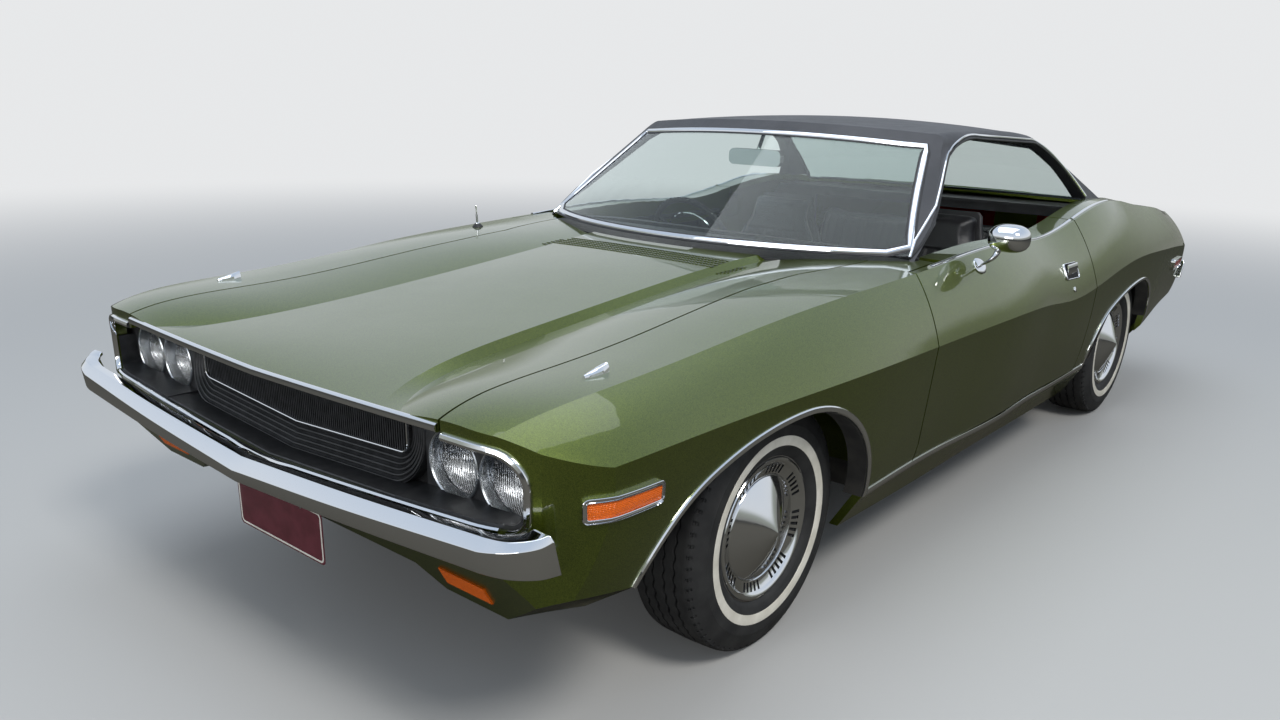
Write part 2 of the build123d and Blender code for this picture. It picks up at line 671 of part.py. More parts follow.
with BuildPart() as rear_window:
    add(cabin_inner.part)
    add(backlight_sheet(GLASS * (1 + BACKLIGHT_LEAN ** 2) ** 0.5, 0), mode=Mode.INTERSECT)
    add(block((-REACH, -1000, BACKLIGHT_FOOT_Z + 6), (0, 1000, REACH)), mode=Mode.INTERSECT)
save(rear_window.part, "rear_window", CLEAR)

# Nose: the bezels are panels set back in the ends of the face opening, with a sill below
lamp_centres = [(side * y, LAMP_Z) for side in (1, -1) for y in LAMP_CENTRES_Y]
with BuildPart() as sill:
    add(face_prism())
    add(face_prism(BEZEL_SHEET), mode=Mode.SUBTRACT)
    add(block((BEZEL_X, -1000, 400), (REACH, 1000, FACE_TOP_Z - 60)), mode=Mode.INTERSECT)
    add(envelope(BEZEL_SHEET), mode=Mode.INTERSECT)
with BuildPart() as lamp_bezels:
    add(inner_form.part)
    add(block((BEZEL_X, -1000, FACE_BOTTOM_Z), (BEZEL_X + BEZEL_DEPTH, 1000, 900)),
        mode=Mode.INTERSECT)
    add(block((FACE_X, -660, FACE_TOP_Z - HOOD_CLEARANCE), (REACH, 660, 900)), mode=Mode.SUBTRACT)
    add(sill.part)
    add(block((FACE_X, -GRILLE_HALF_WIDTH, 400), (REACH, GRILLE_HALF_WIDTH, 900)),
        mode=Mode.SUBTRACT)
    with BuildSketch(Plane.YZ.offset(BEZEL_X - 10)):
        with Locations(*lamp_centres):
            Circle(LAMP_RADIUS)
    extrude(amount=BEZEL_DEPTH + 20, mode=Mode.SUBTRACT)
save(lamp_bezels.part, "lamp_bezels", GREY)

LAMP_DEPTH = 46.0
LENS_RADIUS = 197.0
LENS_X = BEZEL_X + BEZEL_DEPTH - 2


def lamp_part(y, z):
    """One sealed-beam lamp: a short drum with a domed lens."""
    with BuildPart() as lamp:
        with Locations((LENS_X - LENS_RADIUS, y, z)):
            Sphere(LENS_RADIUS, rotation=(0, 0, 180))
        add(rod((LENS_X - LAMP_DEPTH, y, z), (LENS_X + 10, y, z), LAMP_RADIUS), mode=Mode.INTERSECT)
    return lamp.part


with BuildPart() as headlamps:
    for y, z in lamp_centres:
        add(lamp_part(y, z))
save(headlamps.part, "headlamps", CLEAR)

# Grille: a back sheet, a shelf at the foot of the opening and nested trays on it, each a
# shallow V with upturned ends
with BuildPart() as grille:
    add(face_prism())
    add(block((GRILLE_X, -GRILLE_HALF_WIDTH, 400),
              (GRILLE_X + GRILLE_SHEET, GRILLE_HALF_WIDTH, FACE_TOP_Z - HOOD_CLEARANCE)),
        mode=Mode.INTERSECT)
    for number in range(TRAYS):
        end_y = GRILLE_HALF_WIDTH - number * TRAY_STEP_Y
        low = FACE_BOTTOM_Z + number * TRAY_PITCH
        low_end = low + FACE_RISE * end_y / (FACE_END_Y - 30)
        top = FACE_TOP_Z - HOOD_CLEARANCE
        depth = NOSE_FACE_X - SHELF_DEPTH - GRILLE_X if number == 0 else (TRAYS - number) * TRAY_STEP_X
        with BuildSketch(Plane.YZ.offset(GRILLE_X)):
            with BuildLine():
                Polyline((-end_y, top), (-end_y, low_end), (0, low), (end_y, low_end), (end_y, top),
                         (end_y - GRILLE_SHEET, top), (end_y - GRILLE_SHEET, low_end + GRILLE_SHEET),
                         (0, low + GRILLE_SHEET), (GRILLE_SHEET - end_y, low_end + GRILLE_SHEET),
                         (GRILLE_SHEET - end_y, top), close=True)
            make_face()
        extrude(amount=depth)
save(grille.part, "grille", GREY)

proud_form = body_form(-6)


def flush_pad(outline):
    """A thin pad that stands proud of the body's left side inside a side-view outline."""
    with BuildPart() as pad:
        add(side_prism(outline, 800, 1100))
        add(proud_form, mode=Mode.INTERSECT)
        add(outer_form.part, mode=Mode.SUBTRACT)
    return pad.part


with BuildPart() as marker_lamps:
    for outline in (in_side_view((2052, 616), (2234, 618), (2234, 660), (2052, 656)),
                    in_side_view((-2180, 590), (-2010, 590), (-2010, 632), (-2180, 632))):
        add(flush_pad(outline))
    mirror(about=Plane.XZ)
save(marker_lamps.part, "marker_lamps", AMBER)

with BuildPart() as turn_lamps:
    add(block((FACE_X, 560, 380), (NOSE_FACE_X - 22, 700, 424)))
    add(envelope(-5), mode=Mode.INTERSECT)
    add(outer_form.part, mode=Mode.SUBTRACT)
    mirror(about=Plane.XZ)
save(turn_lamps.part, "turn_lamps", AMBER)


# Bumpers, one row for each section of the left half from the middle to the tip: place of the
# crease, the way its face looks, and heights of the lower edge, the crease and the upper edge
Bumper = namedtuple("Bumper", "x y heading low_z crease_z top_z")
FRONT_BUMPER = (
    Bumper(NOSE_X, 0, 0, 499, 528, 556),
    Bumper(NOSE_X - 4, 420, 2, 521, 558, 581),
    Bumper(NOSE_X - 21, 820, 6, 541, 587, 606),
    Bumper(NOSE_X - 38, 884, 40, 543, 592, 612),
    Bumper(NOSE_X - 78, 926, 68, 542, 594, 619),
    Bumper(NOSE_X - 124, 940, 86, 541, 596, 627),
)
REAR_BUMPER = (
    Bumper(TAIL_X, 0, 180, 500, 546, 590),
    Bumper(TAIL_X + 5, 420, 178, 502, 548, 592),
    Bumper(TAIL_X + 24, 815, 172, 506, 552, 596),
    Bumper(TAIL_X + 44, 880, 142, 508, 554, 598),
    Bumper(TAIL_X + 88, 921, 112, 510, 556, 600),
    Bumper(TAIL_X + 152, 938, 94, 512, 558, 602),
)
BUMPER_WALL = 9.0
BRACKET_Y = 400.0


def bumper_section(row):
    """The section across a bumper: a creased face with a short flange at each edge."""
    turn = Vector(1, 0, 0).rotate(Axis.Z, row.heading)
    wall = BUMPER_WALL
    section_plane = Plane(origin=(row.x, row.y, 0), x_dir=turn, z_dir=turn.cross(Vector(0, 0, 1)))
    with BuildSketch(section_plane) as section:
        with BuildLine():
            Polyline((-34, row.low_z), (-6, row.low_z), (0, row.crease_z), (-27, row.top_z),
                     (-48, row.top_z), (-48, row.top_z - wall), (-29 - wall / 4, row.top_z - wall),
                     (-wall - 1, row.crease_z - wall / 3), (-6 - wall, row.low_z + wall),
                     (-34, row.low_z + wall), close=True)
        make_face()
    return section.sketch.face()


def bumper_blade(rows):
    """A bumper blade of open section with its brackets."""
    way = 1 if rows[0].x > 0 else -1
    with BuildPart() as blade:
        for run in (rows[:3], rows[2:]):
            loft(sections=[bumper_section(row) for row in run])
        mirror(about=Plane.XZ)
        for side in (1, -1):
            y = side * BRACKET_Y
            ends = sorted((rows[1].x - way * 6, rows[1].x - way * 140))
            add(block((ends[0], y - 22, rows[1].low_z + 10), (ends[1], y + 22, rows[1].crease_z)))
        add(outer_form.part, mode=Mode.SUBTRACT)
        add(inner_form.part, mode=Mode.SUBTRACT)
    return blade.part


save(bumper_blade(FRONT_BUMPER), "front_bumper", CHROME)
save(bumper_blade(REAR_BUMPER), "rear_bumper", CHROME)


def sheet_line(line, thickness):
    """A closed side-view outline of a bent sheet that lies on a line of points."""
    return tuple(line) + tuple((x, z + thickness) for x, z in reversed(line))


# Floor: one bent sheet with a tunnel for the gearbox and shaft
with BuildPart() as floor_pan:
    add(side_prism(sheet_line(FLOOR_LINE, FLOOR_SHEET), -1000, 1000))
    add(block((along(-660), -TUNNEL_HALF_WIDTH, FLOOR_LINE[2][1]),
              (along(880), TUNNEL_HALF_WIDTH, TUNNEL_TOP_Z)))
    add(block((along(-900), TUNNEL_WALL - TUNNEL_HALF_WIDTH, 100),
              (along(1000), TUNNEL_HALF_WIDTH - TUNNEL_WALL, TUNNEL_TOP_Z - TUNNEL_WALL)),
        mode=Mode.SUBTRACT)
    add(inner_form.part, mode=Mode.INTERSECT)
    add(lock_pillar.part, mode=Mode.SUBTRACT)
    add(other_side(lock_pillar.part), mode=Mode.SUBTRACT)
    for side in (1, -1):
        ends = sorted((side * (WHEELHOUSE_Y - 12), side * 1000))
        add(block((REAR_AXLE_X - WHEELHOUSE_RADIUS - 12, ends[0], 100),
                  (REAR_AXLE_X + WHEELHOUSE_RADIUS + 12, ends[1], 700)), mode=Mode.SUBTRACT)
save(floor_pan.part, "floor_pan", BLACK)

# Rear wheelhouses: half drums over the tyres, with an inner wall that clears the axle
with BuildPart() as wheelhouses:
    with BuildSketch(Plane.XZ.offset(-980)):
        with Locations((REAR_AXLE_X, TYRE_RADIUS)):
            Circle(WHEELHOUSE_RADIUS + 12)
            Circle(WHEELHOUSE_RADIUS, mode=Mode.SUBTRACT)
    extrude(amount=980 - WHEELHOUSE_Y)
    with BuildSketch(Plane.XZ.offset(-WHEELHOUSE_Y)):
        with Locations((REAR_AXLE_X, TYRE_RADIUS)):
            Circle(WHEELHOUSE_RADIUS + 12)
            Circle(130, mode=Mode.SUBTRACT)
    extrude(amount=12)
    add(block((-REACH, 0, 0), (0, 1000, TYRE_RADIUS)), mode=Mode.SUBTRACT)
    add(inner_form.part, mode=Mode.INTERSECT)
    mirror(about=Plane.XZ)
save(wheelhouses.part, "wheelhouses", BLACK)

# Firewall, windscreen posts and the cowl panel at the foot of the windscreen
COWL_TOP_Z = 885.0
FIREWALL_X = along(888.0)
FIREWALL_SHEET = 15.0
FIREWALL_TOP_Z = 830.0
POST_DEPTH = 46.0
post_front = DOOR_EDGE[0][0] - SHUT_GAP - 30
with BuildPart() as cowl:
    add(block((along(600), -POST_Y, COWL_TOP_Z), (SCREEN_FOOT_X + 40, POST_Y, 1000)))
    add(hood_hole, mode=Mode.SUBTRACT)
    add(screen_sheet(0, -900, 700), mode=Mode.SUBTRACT)
    for side in (1, -1):
        ends = sorted((side * (POST_Y - POST_DEPTH), side * POST_Y))
        add(block((along(600), ends[0], 220), (post_front, ends[1], 1000)))
        add(block((post_front, ends[0], 330), (FIREWALL_X, ends[1], FIREWALL_TOP_Z)))
    add(block((FIREWALL_X, -POST_Y, 330), (FIREWALL_X + FIREWALL_SHEET, POST_Y, FIREWALL_TOP_Z)))
    add(block((along(800), TUNNEL_WALL - TUNNEL_HALF_WIDTH, 100),
              (along(1000), TUNNEL_HALF_WIDTH - TUNNEL_WALL, TUNNEL_TOP_Z)), mode=Mode.SUBTRACT)
    add(outer_form.part, mode=Mode.INTERSECT)
    add(floor_pan.part, mode=Mode.SUBTRACT)
    add(left_front_fender.part, mode=Mode.SUBTRACT)
    add(other_side(left_front_fender.part), mode=Mode.SUBTRACT)
    add(windscreen.part, mode=Mode.SUBTRACT)
    add(roof.part, mode=Mode.SUBTRACT)
save(cowl.part, "cowl", GREEN)

# Front structure: rails, aprons beside the engine and the radiator with its support
RAIL_HALF = 30.0
RAIL_Z = (330.0, 430.0)
APRON_TOP_Z = 700.0
APRON_SHEET = 15.0
SUPPORT_X = along(2130.0)
RADIATOR_HALF_WIDTH = 330.0
RADIATOR_Z = (350.0, 730.0)
with BuildPart() as front_structure:
    for side in (1, -1):
        inner, outer = RAIL_Y - RAIL_HALF, RAIL_Y + RAIL_HALF
        ends = sorted((side * inner, side * outer))
        add(block((FIREWALL_X + FIREWALL_SHEET, ends[0], RAIL_Z[0]),
                  (SUPPORT_X + 40, ends[1], RAIL_Z[1])))
        ends = sorted((side * (outer - APRON_SHEET), side * outer))
        add(block((FIREWALL_X + FIREWALL_SHEET, ends[0], RAIL_Z[0] + 20),
                  (SUPPORT_X, ends[1], APRON_TOP_Z)))
        ends = sorted((side * (outer - APRON_SHEET), side * 1000))
        add(block((FIREWALL_X + FIREWALL_SHEET, ends[0], APRON_TOP_Z - APRON_SHEET),
                  (SUPPORT_X, ends[1], APRON_TOP_Z)))
    add(block((SUPPORT_X, -1000, RAIL_Z[0] + 10), (SUPPORT_X + 15, 1000, APRON_TOP_Z + 20)))
    add(block((SUPPORT_X, -60, APRON_TOP_Z), (SUPPORT_X + 30, 60, 900)))
    add(block((SUPPORT_X - 60, -RADIATOR_HALF_WIDTH, RADIATOR_Z[0]),
              (SUPPORT_X, RADIATOR_HALF_WIDTH, RADIATOR_Z[1])))
    add(hood_seat.part, mode=Mode.INTERSECT)
    add(left_front_fender.part, mode=Mode.SUBTRACT)
save(front_structure.part, "front_structure", BLACK)

# Engine: one plain block with its air cleaner
ENGINE_X = (along(1010.0), along(1700.0))
ENGINE_HALF_WIDTH = 270.0
ENGINE_Z = (300.0, 700.0)
CLEANER_RADIUS = 190.0
CLEANER_TOP_Z = 778.0
with BuildPart() as engine:
    add(block((ENGINE_X[0], -ENGINE_HALF_WIDTH, ENGINE_Z[0]),
              (ENGINE_X[1], ENGINE_HALF_WIDTH, ENGINE_Z[1])))
    with BuildSketch(Plane.XY.offset(ENGINE_Z[1])):
        with Locations(((ENGINE_X[0] + ENGINE_X[1]) / 2, 0)):
            Circle(CLEANER_RADIUS)
    extrude(amount=CLEANER_TOP_Z - ENGINE_Z[1])
save(engine.part, "engine", GREY)

# Gearbox and propeller shaft
SHAFT_Z = 290.0
with BuildPart() as driveline:
    add(rod((ENGINE_X[0], 0, SHAFT_Z), (along(390), 0, SHAFT_Z), 84))
    add(rod((along(390), 0, SHAFT_Z), (REAR_AXLE_X + 120, 0, TYRE_RADIUS), 34))
save(driveline.part, "driveline", GREY)

# Rear axle on two leaf springs whose eyes hang from the floor
AXLE_RADIUS = 38.0
DIFF_RADIUS = 118.0
SPRING_Y = 560.0
SPRING_WIDTH = 64.0
SPRING_LEAF = 22.0
SPRING_X = (along(-1930.0), along(-690.0))
with BuildPart() as rear_axle:
    add(rod((REAR_AXLE_X, -REAR_TRACK / 2 + 60, TYRE_RADIUS),
            (REAR_AXLE_X, REAR_TRACK / 2 - 60, TYRE_RADIUS), AXLE_RADIUS))
    add(rod((REAR_AXLE_X, -REAR_TRACK / 2 - 4, TYRE_RADIUS),
            (REAR_AXLE_X, REAR_TRACK / 2 + 4, TYRE_RADIUS), SPINDLE_RADIUS))
    with Locations((REAR_AXLE_X, 0, TYRE_RADIUS)):
        Sphere(DIFF_RADIUS)
    add(rod((REAR_AXLE_X, 0, TYRE_RADIUS), (REAR_AXLE_X + 120, 0, TYRE_RADIUS), 60))
    for side in (1, -1):
        far = side * SPRING_Y + SPRING_WIDTH / 2
        with BuildSketch(Plane.XZ.offset(-far)):
            with BuildLine():
                low = TYRE_RADIUS - AXLE_RADIUS - SPRING_LEAF
                ThreePointArc((SPRING_X[1], 330), (REAR_AXLE_X, low), (SPRING_X[0], 300))
                Line((SPRING_X[0], 300), (SPRING_X[0], 300 + SPRING_LEAF))
                ThreePointArc((SPRING_X[0], 300 + SPRING_LEAF), (REAR_AXLE_X, low + SPRING_LEAF),
                              (SPRING_X[1], 330 + SPRING_LEAF))
                Line((SPRING_X[1], 330 + SPRING_LEAF), (SPRING_X[1], 330))
            make_face()
        extrude(amount=SPRING_WIDTH)
        add(block((SPRING_X[1] - 50, far - SPRING_WIDTH, 336), (SPRING_X[1] - 14, far, FLOOR_LINE[3][1])))
        add(block((SPRING_X[0], far - SPRING_WIDTH, 306), (SPRING_X[0] + 36, far, FLOOR_LINE[7][1])))
        add(block((REAR_AXLE_X - 45, far - SPRING_WIDTH, low + 6),
                  (REAR_AXLE_X + 45, far, TYRE_RADIUS)))
    add(rod((REAR_AXLE_X + 119, 0, TYRE_RADIUS), (REAR_AXLE_X + 200, 0, TYRE_RADIUS), 70),
        mode=Mode.SUBTRACT)
save(rear_axle.part, "rear_axle", BLACK)

# Fuel tank and exhaust
TANK_X = (along(-2190.0), along(-1760.0))
with BuildPart() as fuel_tank:
    add(block((TANK_X[0], -270, 200), (TANK_X[1], 270, FLOOR_LINE[7][1])))
    fillet(fuel_tank.edges().filter_by(Axis.Z), 40)
save(fuel_tank.part, "fuel_tank", GREY)

PIPE_RADIUS = 26.0
PIPE_Y = 330.0
PIPE_END_X = TAIL_FACE_X + 5
MUFFLER_RADIUS = 62.0
MUFFLER_Z = FLOOR_LINE[1][1] - MUFFLER_RADIUS - SEAT_GAP
with BuildPart() as exhaust:
    with BuildLine():
        run = FilletPolyline((along(930), PIPE_Y, 178), (along(-900), PIPE_Y, 178),
                             (REAR_AXLE_X + 182, PIPE_Y, 424), (REAR_AXLE_X - 188, PIPE_Y, 424),
                             (REAR_AXLE_X - 388, PIPE_Y, 262), (PIPE_END_X, PIPE_Y, 262), radius=90)
    with BuildSketch(Plane(origin=run @ 0, z_dir=run % 0)):
        Circle(PIPE_RADIUS)
    sweep()
    add(rod((along(-150), PIPE_Y, MUFFLER_Z), (along(-620), PIPE_Y, MUFFLER_Z), MUFFLER_RADIUS))
    add(rod((PIPE_END_X + 100, PIPE_Y, 262), (PIPE_END_X + 115, PIPE_Y, 262), PIPE_RADIUS + 8))
    mirror(about=Plane.XZ)
save(exhaust.part, "exhaust", GREY)

# Front suspension: crossmember with lower and upper arms whose eyes hold the knuckles
ARM_LOW_Z = 222.0
ARM_HIGH_Z = 470.0
ARM_SHEET = 22.0
EYE_RADIUS = 34.0
with BuildPart() as front_suspension:
    add(block((FRONT_AXLE_X - 70, -RAIL_Y - RAIL_HALF, 230),
              (FRONT_AXLE_X + 70, RAIL_Y + RAIL_HALF, 296)))
    for side in (1, -1):
        ends = sorted((side * (RAIL_Y - RAIL_HALF), side * (RAIL_Y + RAIL_HALF)))
        add(block((FRONT_AXLE_X - 70, ends[0], 230), (FRONT_AXLE_X + 70, ends[1], RAIL_Z[0])))
        for height, root_y, spread in ((ARM_LOW_Z, RAIL_Y, 62), (ARM_HIGH_Z, RAIL_Y + RAIL_HALF, 62)):
            root = side * root_y
            tip = side * KINGPIN_Y
            add(plan_prism(((FRONT_AXLE_X - spread, root), (FRONT_AXLE_X + spread, root),
                            (FRONT_AXLE_X + 22, tip), (FRONT_AXLE_X - 22, tip)),
                           height, height + ARM_SHEET))
            add(rod((FRONT_AXLE_X, tip, height), (FRONT_AXLE_X, tip, height + ARM_SHEET), EYE_RADIUS))
        add(rod((FRONT_AXLE_X, side * KINGPIN_Y, 0), (FRONT_AXLE_X, side * KINGPIN_Y, 900),
                KINGPIN_RADIUS + RUNNING_FIT), mode=Mode.SUBTRACT)
save(front_suspension.part, "front_suspension", BLACK)

# Knuckles: upright, kingpin ends in the arm eyes and a spindle for the wheel
upright_low = ARM_LOW_Z + ARM_SHEET + 0.5
upright_high = ARM_HIGH_Z - 0.5
with BuildPart() as left_knuckle:
    add(rod((FRONT_AXLE_X, KINGPIN_Y, upright_low), (FRONT_AXLE_X, KINGPIN_Y, upright_high), 26))
    add(rod((FRONT_AXLE_X, KINGPIN_Y, ARM_LOW_Z), (FRONT_AXLE_X, KINGPIN_Y, ARM_HIGH_Z + ARM_SHEET),
            KINGPIN_RADIUS))
    add(rod((FRONT_AXLE_X, KINGPIN_Y, TYRE_RADIUS), (FRONT_AXLE_X, WHEEL_SEAT_Y - 8, TYRE_RADIUS), 40))
    add(rod((FRONT_AXLE_X, KINGPIN_Y, TYRE_RADIUS), (FRONT_AXLE_X, FRONT_TRACK / 2 + 4, TYRE_RADIUS),
            SPINDLE_RADIUS))
save(left_knuckle.part, "left_knuckle", GREY)
save(other_side(left_knuckle.part), "right_knuckle", GREY)

# Wheels: rim, disc with hub bore and full-width cover; tyres seat on the rims
RIM_WIDTH = 165.0
RIM_WALL = 8.0
COVER_RADIUS = RIM_RADIUS - 2
SLOT_GROUPS = 5
SLOTS = 6
SLOT_PITCH = 7.5
SLOT_MIDDLE = 146.0
SLOT_LENGTH = 42.0
SLOT_WIDTH = 8.0


def wheel_part(axle_x, centre_y):
    """The left wheel, turned about its axle from one profile."""
    seat = centre_y - 16
    outer_face = centre_y + RIM_WIDTH / 2
    inner_face = centre_y - RIM_WIDTH / 2
    hole = SPINDLE_RADIUS + RUNNING_FIT
    axis = Axis((axle_x, 0, TYRE_RADIUS), (0, 1, 0))
    with BuildPart() as wheel:
        with BuildSketch(Plane(origin=(axle_x, 0, TYRE_RADIUS), x_dir=(0, 0, 1), z_dir=(-1, 0, 0))):
            with BuildLine():
                Polyline((hole, seat), (RIM_RADIUS - RIM_WALL, seat),
                         (RIM_RADIUS - RIM_WALL, inner_face), (RIM_RADIUS - 0.3, inner_face),
                         (RIM_RADIUS - 0.3, outer_face), (RIM_RADIUS - RIM_WALL, outer_face),
                         (RIM_RADIUS - RIM_WALL, seat + 14), (60, seat + 14), (60, seat + 22),
                         (hole, seat + 22), close=True)
            make_face()
        revolve(axis=axis)
        add(cover_part(axle_x, centre_y))
    return wheel.part


def cover_part(axle_x, centre_y):
    """The wheel cover: a slotted, dished ring about a pointed centre."""
    face = centre_y + RIM_WIDTH / 2
    axis = Axis((axle_x, 0, TYRE_RADIUS), (0, 1, 0))
    with BuildPart() as cover:
        with BuildSketch(Plane(origin=(axle_x, 0, TYRE_RADIUS), x_dir=(0, 0, 1), z_dir=(-1, 0, 0))):
            with BuildLine():
                Polyline((0, face + 16), (96, face - 18), (108, face - 20))
                ThreePointArc((108, face - 20), (148, face - 9), (COVER_RADIUS - 10, face + 3))
                Polyline((COVER_RADIUS - 10, face + 3), (COVER_RADIUS - 4, face + 5), (COVER_RADIUS, face + 1),
                         (COVER_RADIUS, face - 6), (COVER_RADIUS - 10, face - 6))
                ThreePointArc((COVER_RADIUS - 10, face - 6), (148, face - 16), (110, face - 27))
                Polyline((110, face - 27), (94, face - 25), (0, face + 8), (0, face + 16))
            make_face()
        revolve(axis=axis)
        slot_plane = Plane(origin=(axle_x, face + 30, TYRE_RADIUS), x_dir=(1, 0, 0), z_dir=(0, 1, 0))
        with BuildSketch(slot_plane):
            for group in range(SLOT_GROUPS):
                middle = 90 + group * 360 / SLOT_GROUPS
                start = middle - SLOT_PITCH * (SLOTS - 1) / 2
                with PolarLocations(SLOT_MIDDLE, SLOTS, start, SLOT_PITCH * (SLOTS - 1), endpoint=True):
                    Rectangle(SLOT_LENGTH, SLOT_WIDTH)
        extrude(amount=-80, mode=Mode.SUBTRACT)
    return cover.part


def tyre_part(axle_x, centre_y):
    """The left tyre: a rounded ring about the rim, with its tread band."""
    half = TYRE_WIDTH / 2
    bead = RIM_WIDTH / 2
    axis = Axis((axle_x, 0, TYRE_RADIUS), (0, 1, 0))
    shoulder = TYRE_RADIUS - 20
    wall = (RIM_RADIUS + TYRE_RADIUS) / 2 - 4
    with BuildPart() as tyre:
        with BuildSketch(Plane(origin=(axle_x, centre_y, TYRE_RADIUS), x_dir=(0, 0, 1), z_dir=(-1, 0, 0))):
            with BuildLine():
                Line((RIM_RADIUS, -bead), (RIM_RADIUS, bead))
                ThreePointArc((RIM_RADIUS, bead), (wall, half), (shoulder, half - 14))
                ThreePointArc((shoulder, half - 14), (TYRE_RADIUS - 7, half - 20),
                              (TYRE_RADIUS - 2, half - 34))
                ThreePointArc((TYRE_RADIUS - 2, half - 34), (TYRE_RADIUS, 0),
                              (TYRE_RADIUS - 2, 34 - half))
                ThreePointArc((TYRE_RADIUS - 2, 34 - half), (TYRE_RADIUS - 7, 20 - half),
                              (shoulder, 14 - half))
                ThreePointArc((shoulder, 14 - half), (wall, -half), (RIM_RADIUS, -bead))
            make_face()
        revolve(axis=axis)
    return tyre.part


for place, axle_x, centre_y in (("front", FRONT_AXLE_X, FRONT_TRACK / 2),
                                ("rear", REAR_AXLE_X, REAR_TRACK / 2)):
    wheel = wheel_part(axle_x, centre_y)
    tyre = tyre_part(axle_x, centre_y)
    save(wheel, f"{place}_left_wheel", CHROME)
    save(tyre, f"{place}_left_tyre", BLACK)
    save(other_side(wheel), f"{place}_right_wheel", CHROME)
    save(other_side(tyre), f"{place}_right_tyre", BLACK)

# Dashboard, console and steering
DASH_LINE = in_side_view((888, 700), (888, 850), (850, COWL_TOP_Z), (520, COWL_TOP_Z), (450, 868),
                         (420, 800), (470, 690), (600, 660))
DASH_HALF_WIDTH = 745.0
with BuildPart() as dashboard:
    add(side_prism(DASH_LINE, -DASH_HALF_WIDTH, DASH_HALF_WIDTH))
    add(hood_hole, mode=Mode.SUBTRACT)
    add(left_front_fender.part, mode=Mode.SUBTRACT)
    add(other_side(left_front_fender.part), mode=Mode.SUBTRACT)
save(dashboard.part, "dashboard", BLACK)

with BuildPart() as console:
    add(side_prism(in_side_view((440, TUNNEL_TOP_Z), (440, 520), (300, 470), (-230, 470),
                                (-260, TUNNEL_TOP_Z)), -95, 95))
    add(rod((along(180), 0, 465), (along(160), 0, 600), 9))
    with Locations((along(160), 0, 612)):
        Sphere(22)
save(console.part, "console", BLACK)

column_way = Vector(1, 0, 0).rotate(Axis.Y, COLUMN_RAKE)
centre = Vector(*STEERING_CENTRE)
with BuildPart() as steering_column:
    add(rod(tuple(centre + column_way * 30), tuple(centre + column_way * 330), 24))
    add(dashboard.part, mode=Mode.SUBTRACT)
save(steering_column.part.solids().sort_by(Axis.X)[0], "steering_column", BLACK)

STEERING_GRIP = 11.0
with BuildPart() as steering_wheel:
    with BuildSketch(Plane(origin=centre, x_dir=(0, 1, 0), z_dir=column_way)):
        Circle(28)
    extrude(amount=29)
    with BuildSketch(Plane(origin=centre + Vector(0, STEERING_RADIUS - STEERING_GRIP, 0),
                           x_dir=(0, 1, 0), z_dir=column_way.cross(Vector(0, 1, 0)))):
        Circle(STEERING_GRIP)
    revolve(axis=Axis(centre, column_way))
    for turn in (0, 120, 240):
        spoke = Vector(0, 0, 1).rotate(Axis.Y, COLUMN_RAKE)
        spoke = spoke.rotate(Axis((0, 0, 0), column_way), turn + 180)
        add(rod(tuple(centre + column_way * 14), tuple(centre + spoke * (STEERING_RADIUS - 14)), 7))
save(steering_wheel.part, "steering_wheel", BLACK)

# Seats stand on the floor; the rear bench on the raised seat pan
FLOOR_TOP_Z = FLOOR_LINE[1][1] + FLOOR_SHEET
FRONT_SEAT_LINE = in_side_view((170, FLOOR_TOP_Z), (190, 300), (210, 430), (160, 478), (-240, 442),
                               (-300, 470), (-395, 930), (-430, 985), (-480, 985), (-505, 930),
                               (-425, 400), (-380, FLOOR_TOP_Z))
SEAT_Y = 385.0
SEAT_WIDTH = 500.0
with BuildPart() as front_seats:
    for side in (1, -1):
        add(side_prism(FRONT_SEAT_LINE, side * SEAT_Y - SEAT_WIDTH / 2, side * SEAT_Y + SEAT_WIDTH / 2))
save(front_seats.part, "front_seats", BLACK)

PAN_TOP_Z = FLOOR_LINE[3][1] + FLOOR_SHEET
REAR_SEAT_LINE = in_side_view((-690, PAN_TOP_Z), (-640, 440), (-640, 490), (-700, 520), (-980, 500),
                              (-1100, 880), (-1175, 895), (-1175, 860),
                              (-1085, FLOOR_LINE[5][1] + FLOOR_SHEET),
                              (-1060, FLOOR_LINE[5][1] + FLOOR_SHEET), (-1010, PAN_TOP_Z))
REAR_SEAT_HALF = 610.0
with BuildPart() as rear_seat:
    add(side_prism(REAR_SEAT_LINE, -REAR_SEAT_HALF, REAR_SEAT_HALF))
save(rear_seat.part, "rear_seat", BLACK)

SHELF_Z = 930.0
with BuildPart() as rear_shelf:
    add(block((along(-1345), -1000, SHELF_Z - 12), (along(-1110), 1000, SHELF_Z)))
    add(block((along(-1130), -1000, 700), (along(-1118), 1000, SHELF_Z)))
    add(inner_form.part, mode=Mode.INTERSECT)
    add(rear_seat.part, mode=Mode.SUBTRACT)
    add(lid_hole, mode=Mode.SUBTRACT)
save(rear_shelf.part, "rear_shelf", BLACK)

# Mirrors
with BuildPart() as door_mirror:
    with Locations((along(399), 962, 963)):
        Sphere(62)
    add(rod((along(405), 890, 850), (along(400), 950, 930), 11))
    add(left_door.part, mode=Mode.SUBTRACT)
save(door_mirror.part, "door_mirror", CHROME)

with BuildPart() as inside_mirror:
    with BuildSketch(Plane.YZ.offset(along(352))):
        with Locations((0, above(1150))):
            RectangleRounded(220, 56, 20)
    extrude(amount=22)
    add(rod((along(363), 0, above(1150)), (along(300), 0, HEAD_Z), 7))
    add(roof.part, mode=Mode.SUBTRACT)
save(inside_mirror.part, "inside_mirror", CHROME)
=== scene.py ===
import cmath
import math

import bmesh
import bpy
from mathutils import Matrix, Vector
from mathutils.bvhtree import BVHTree

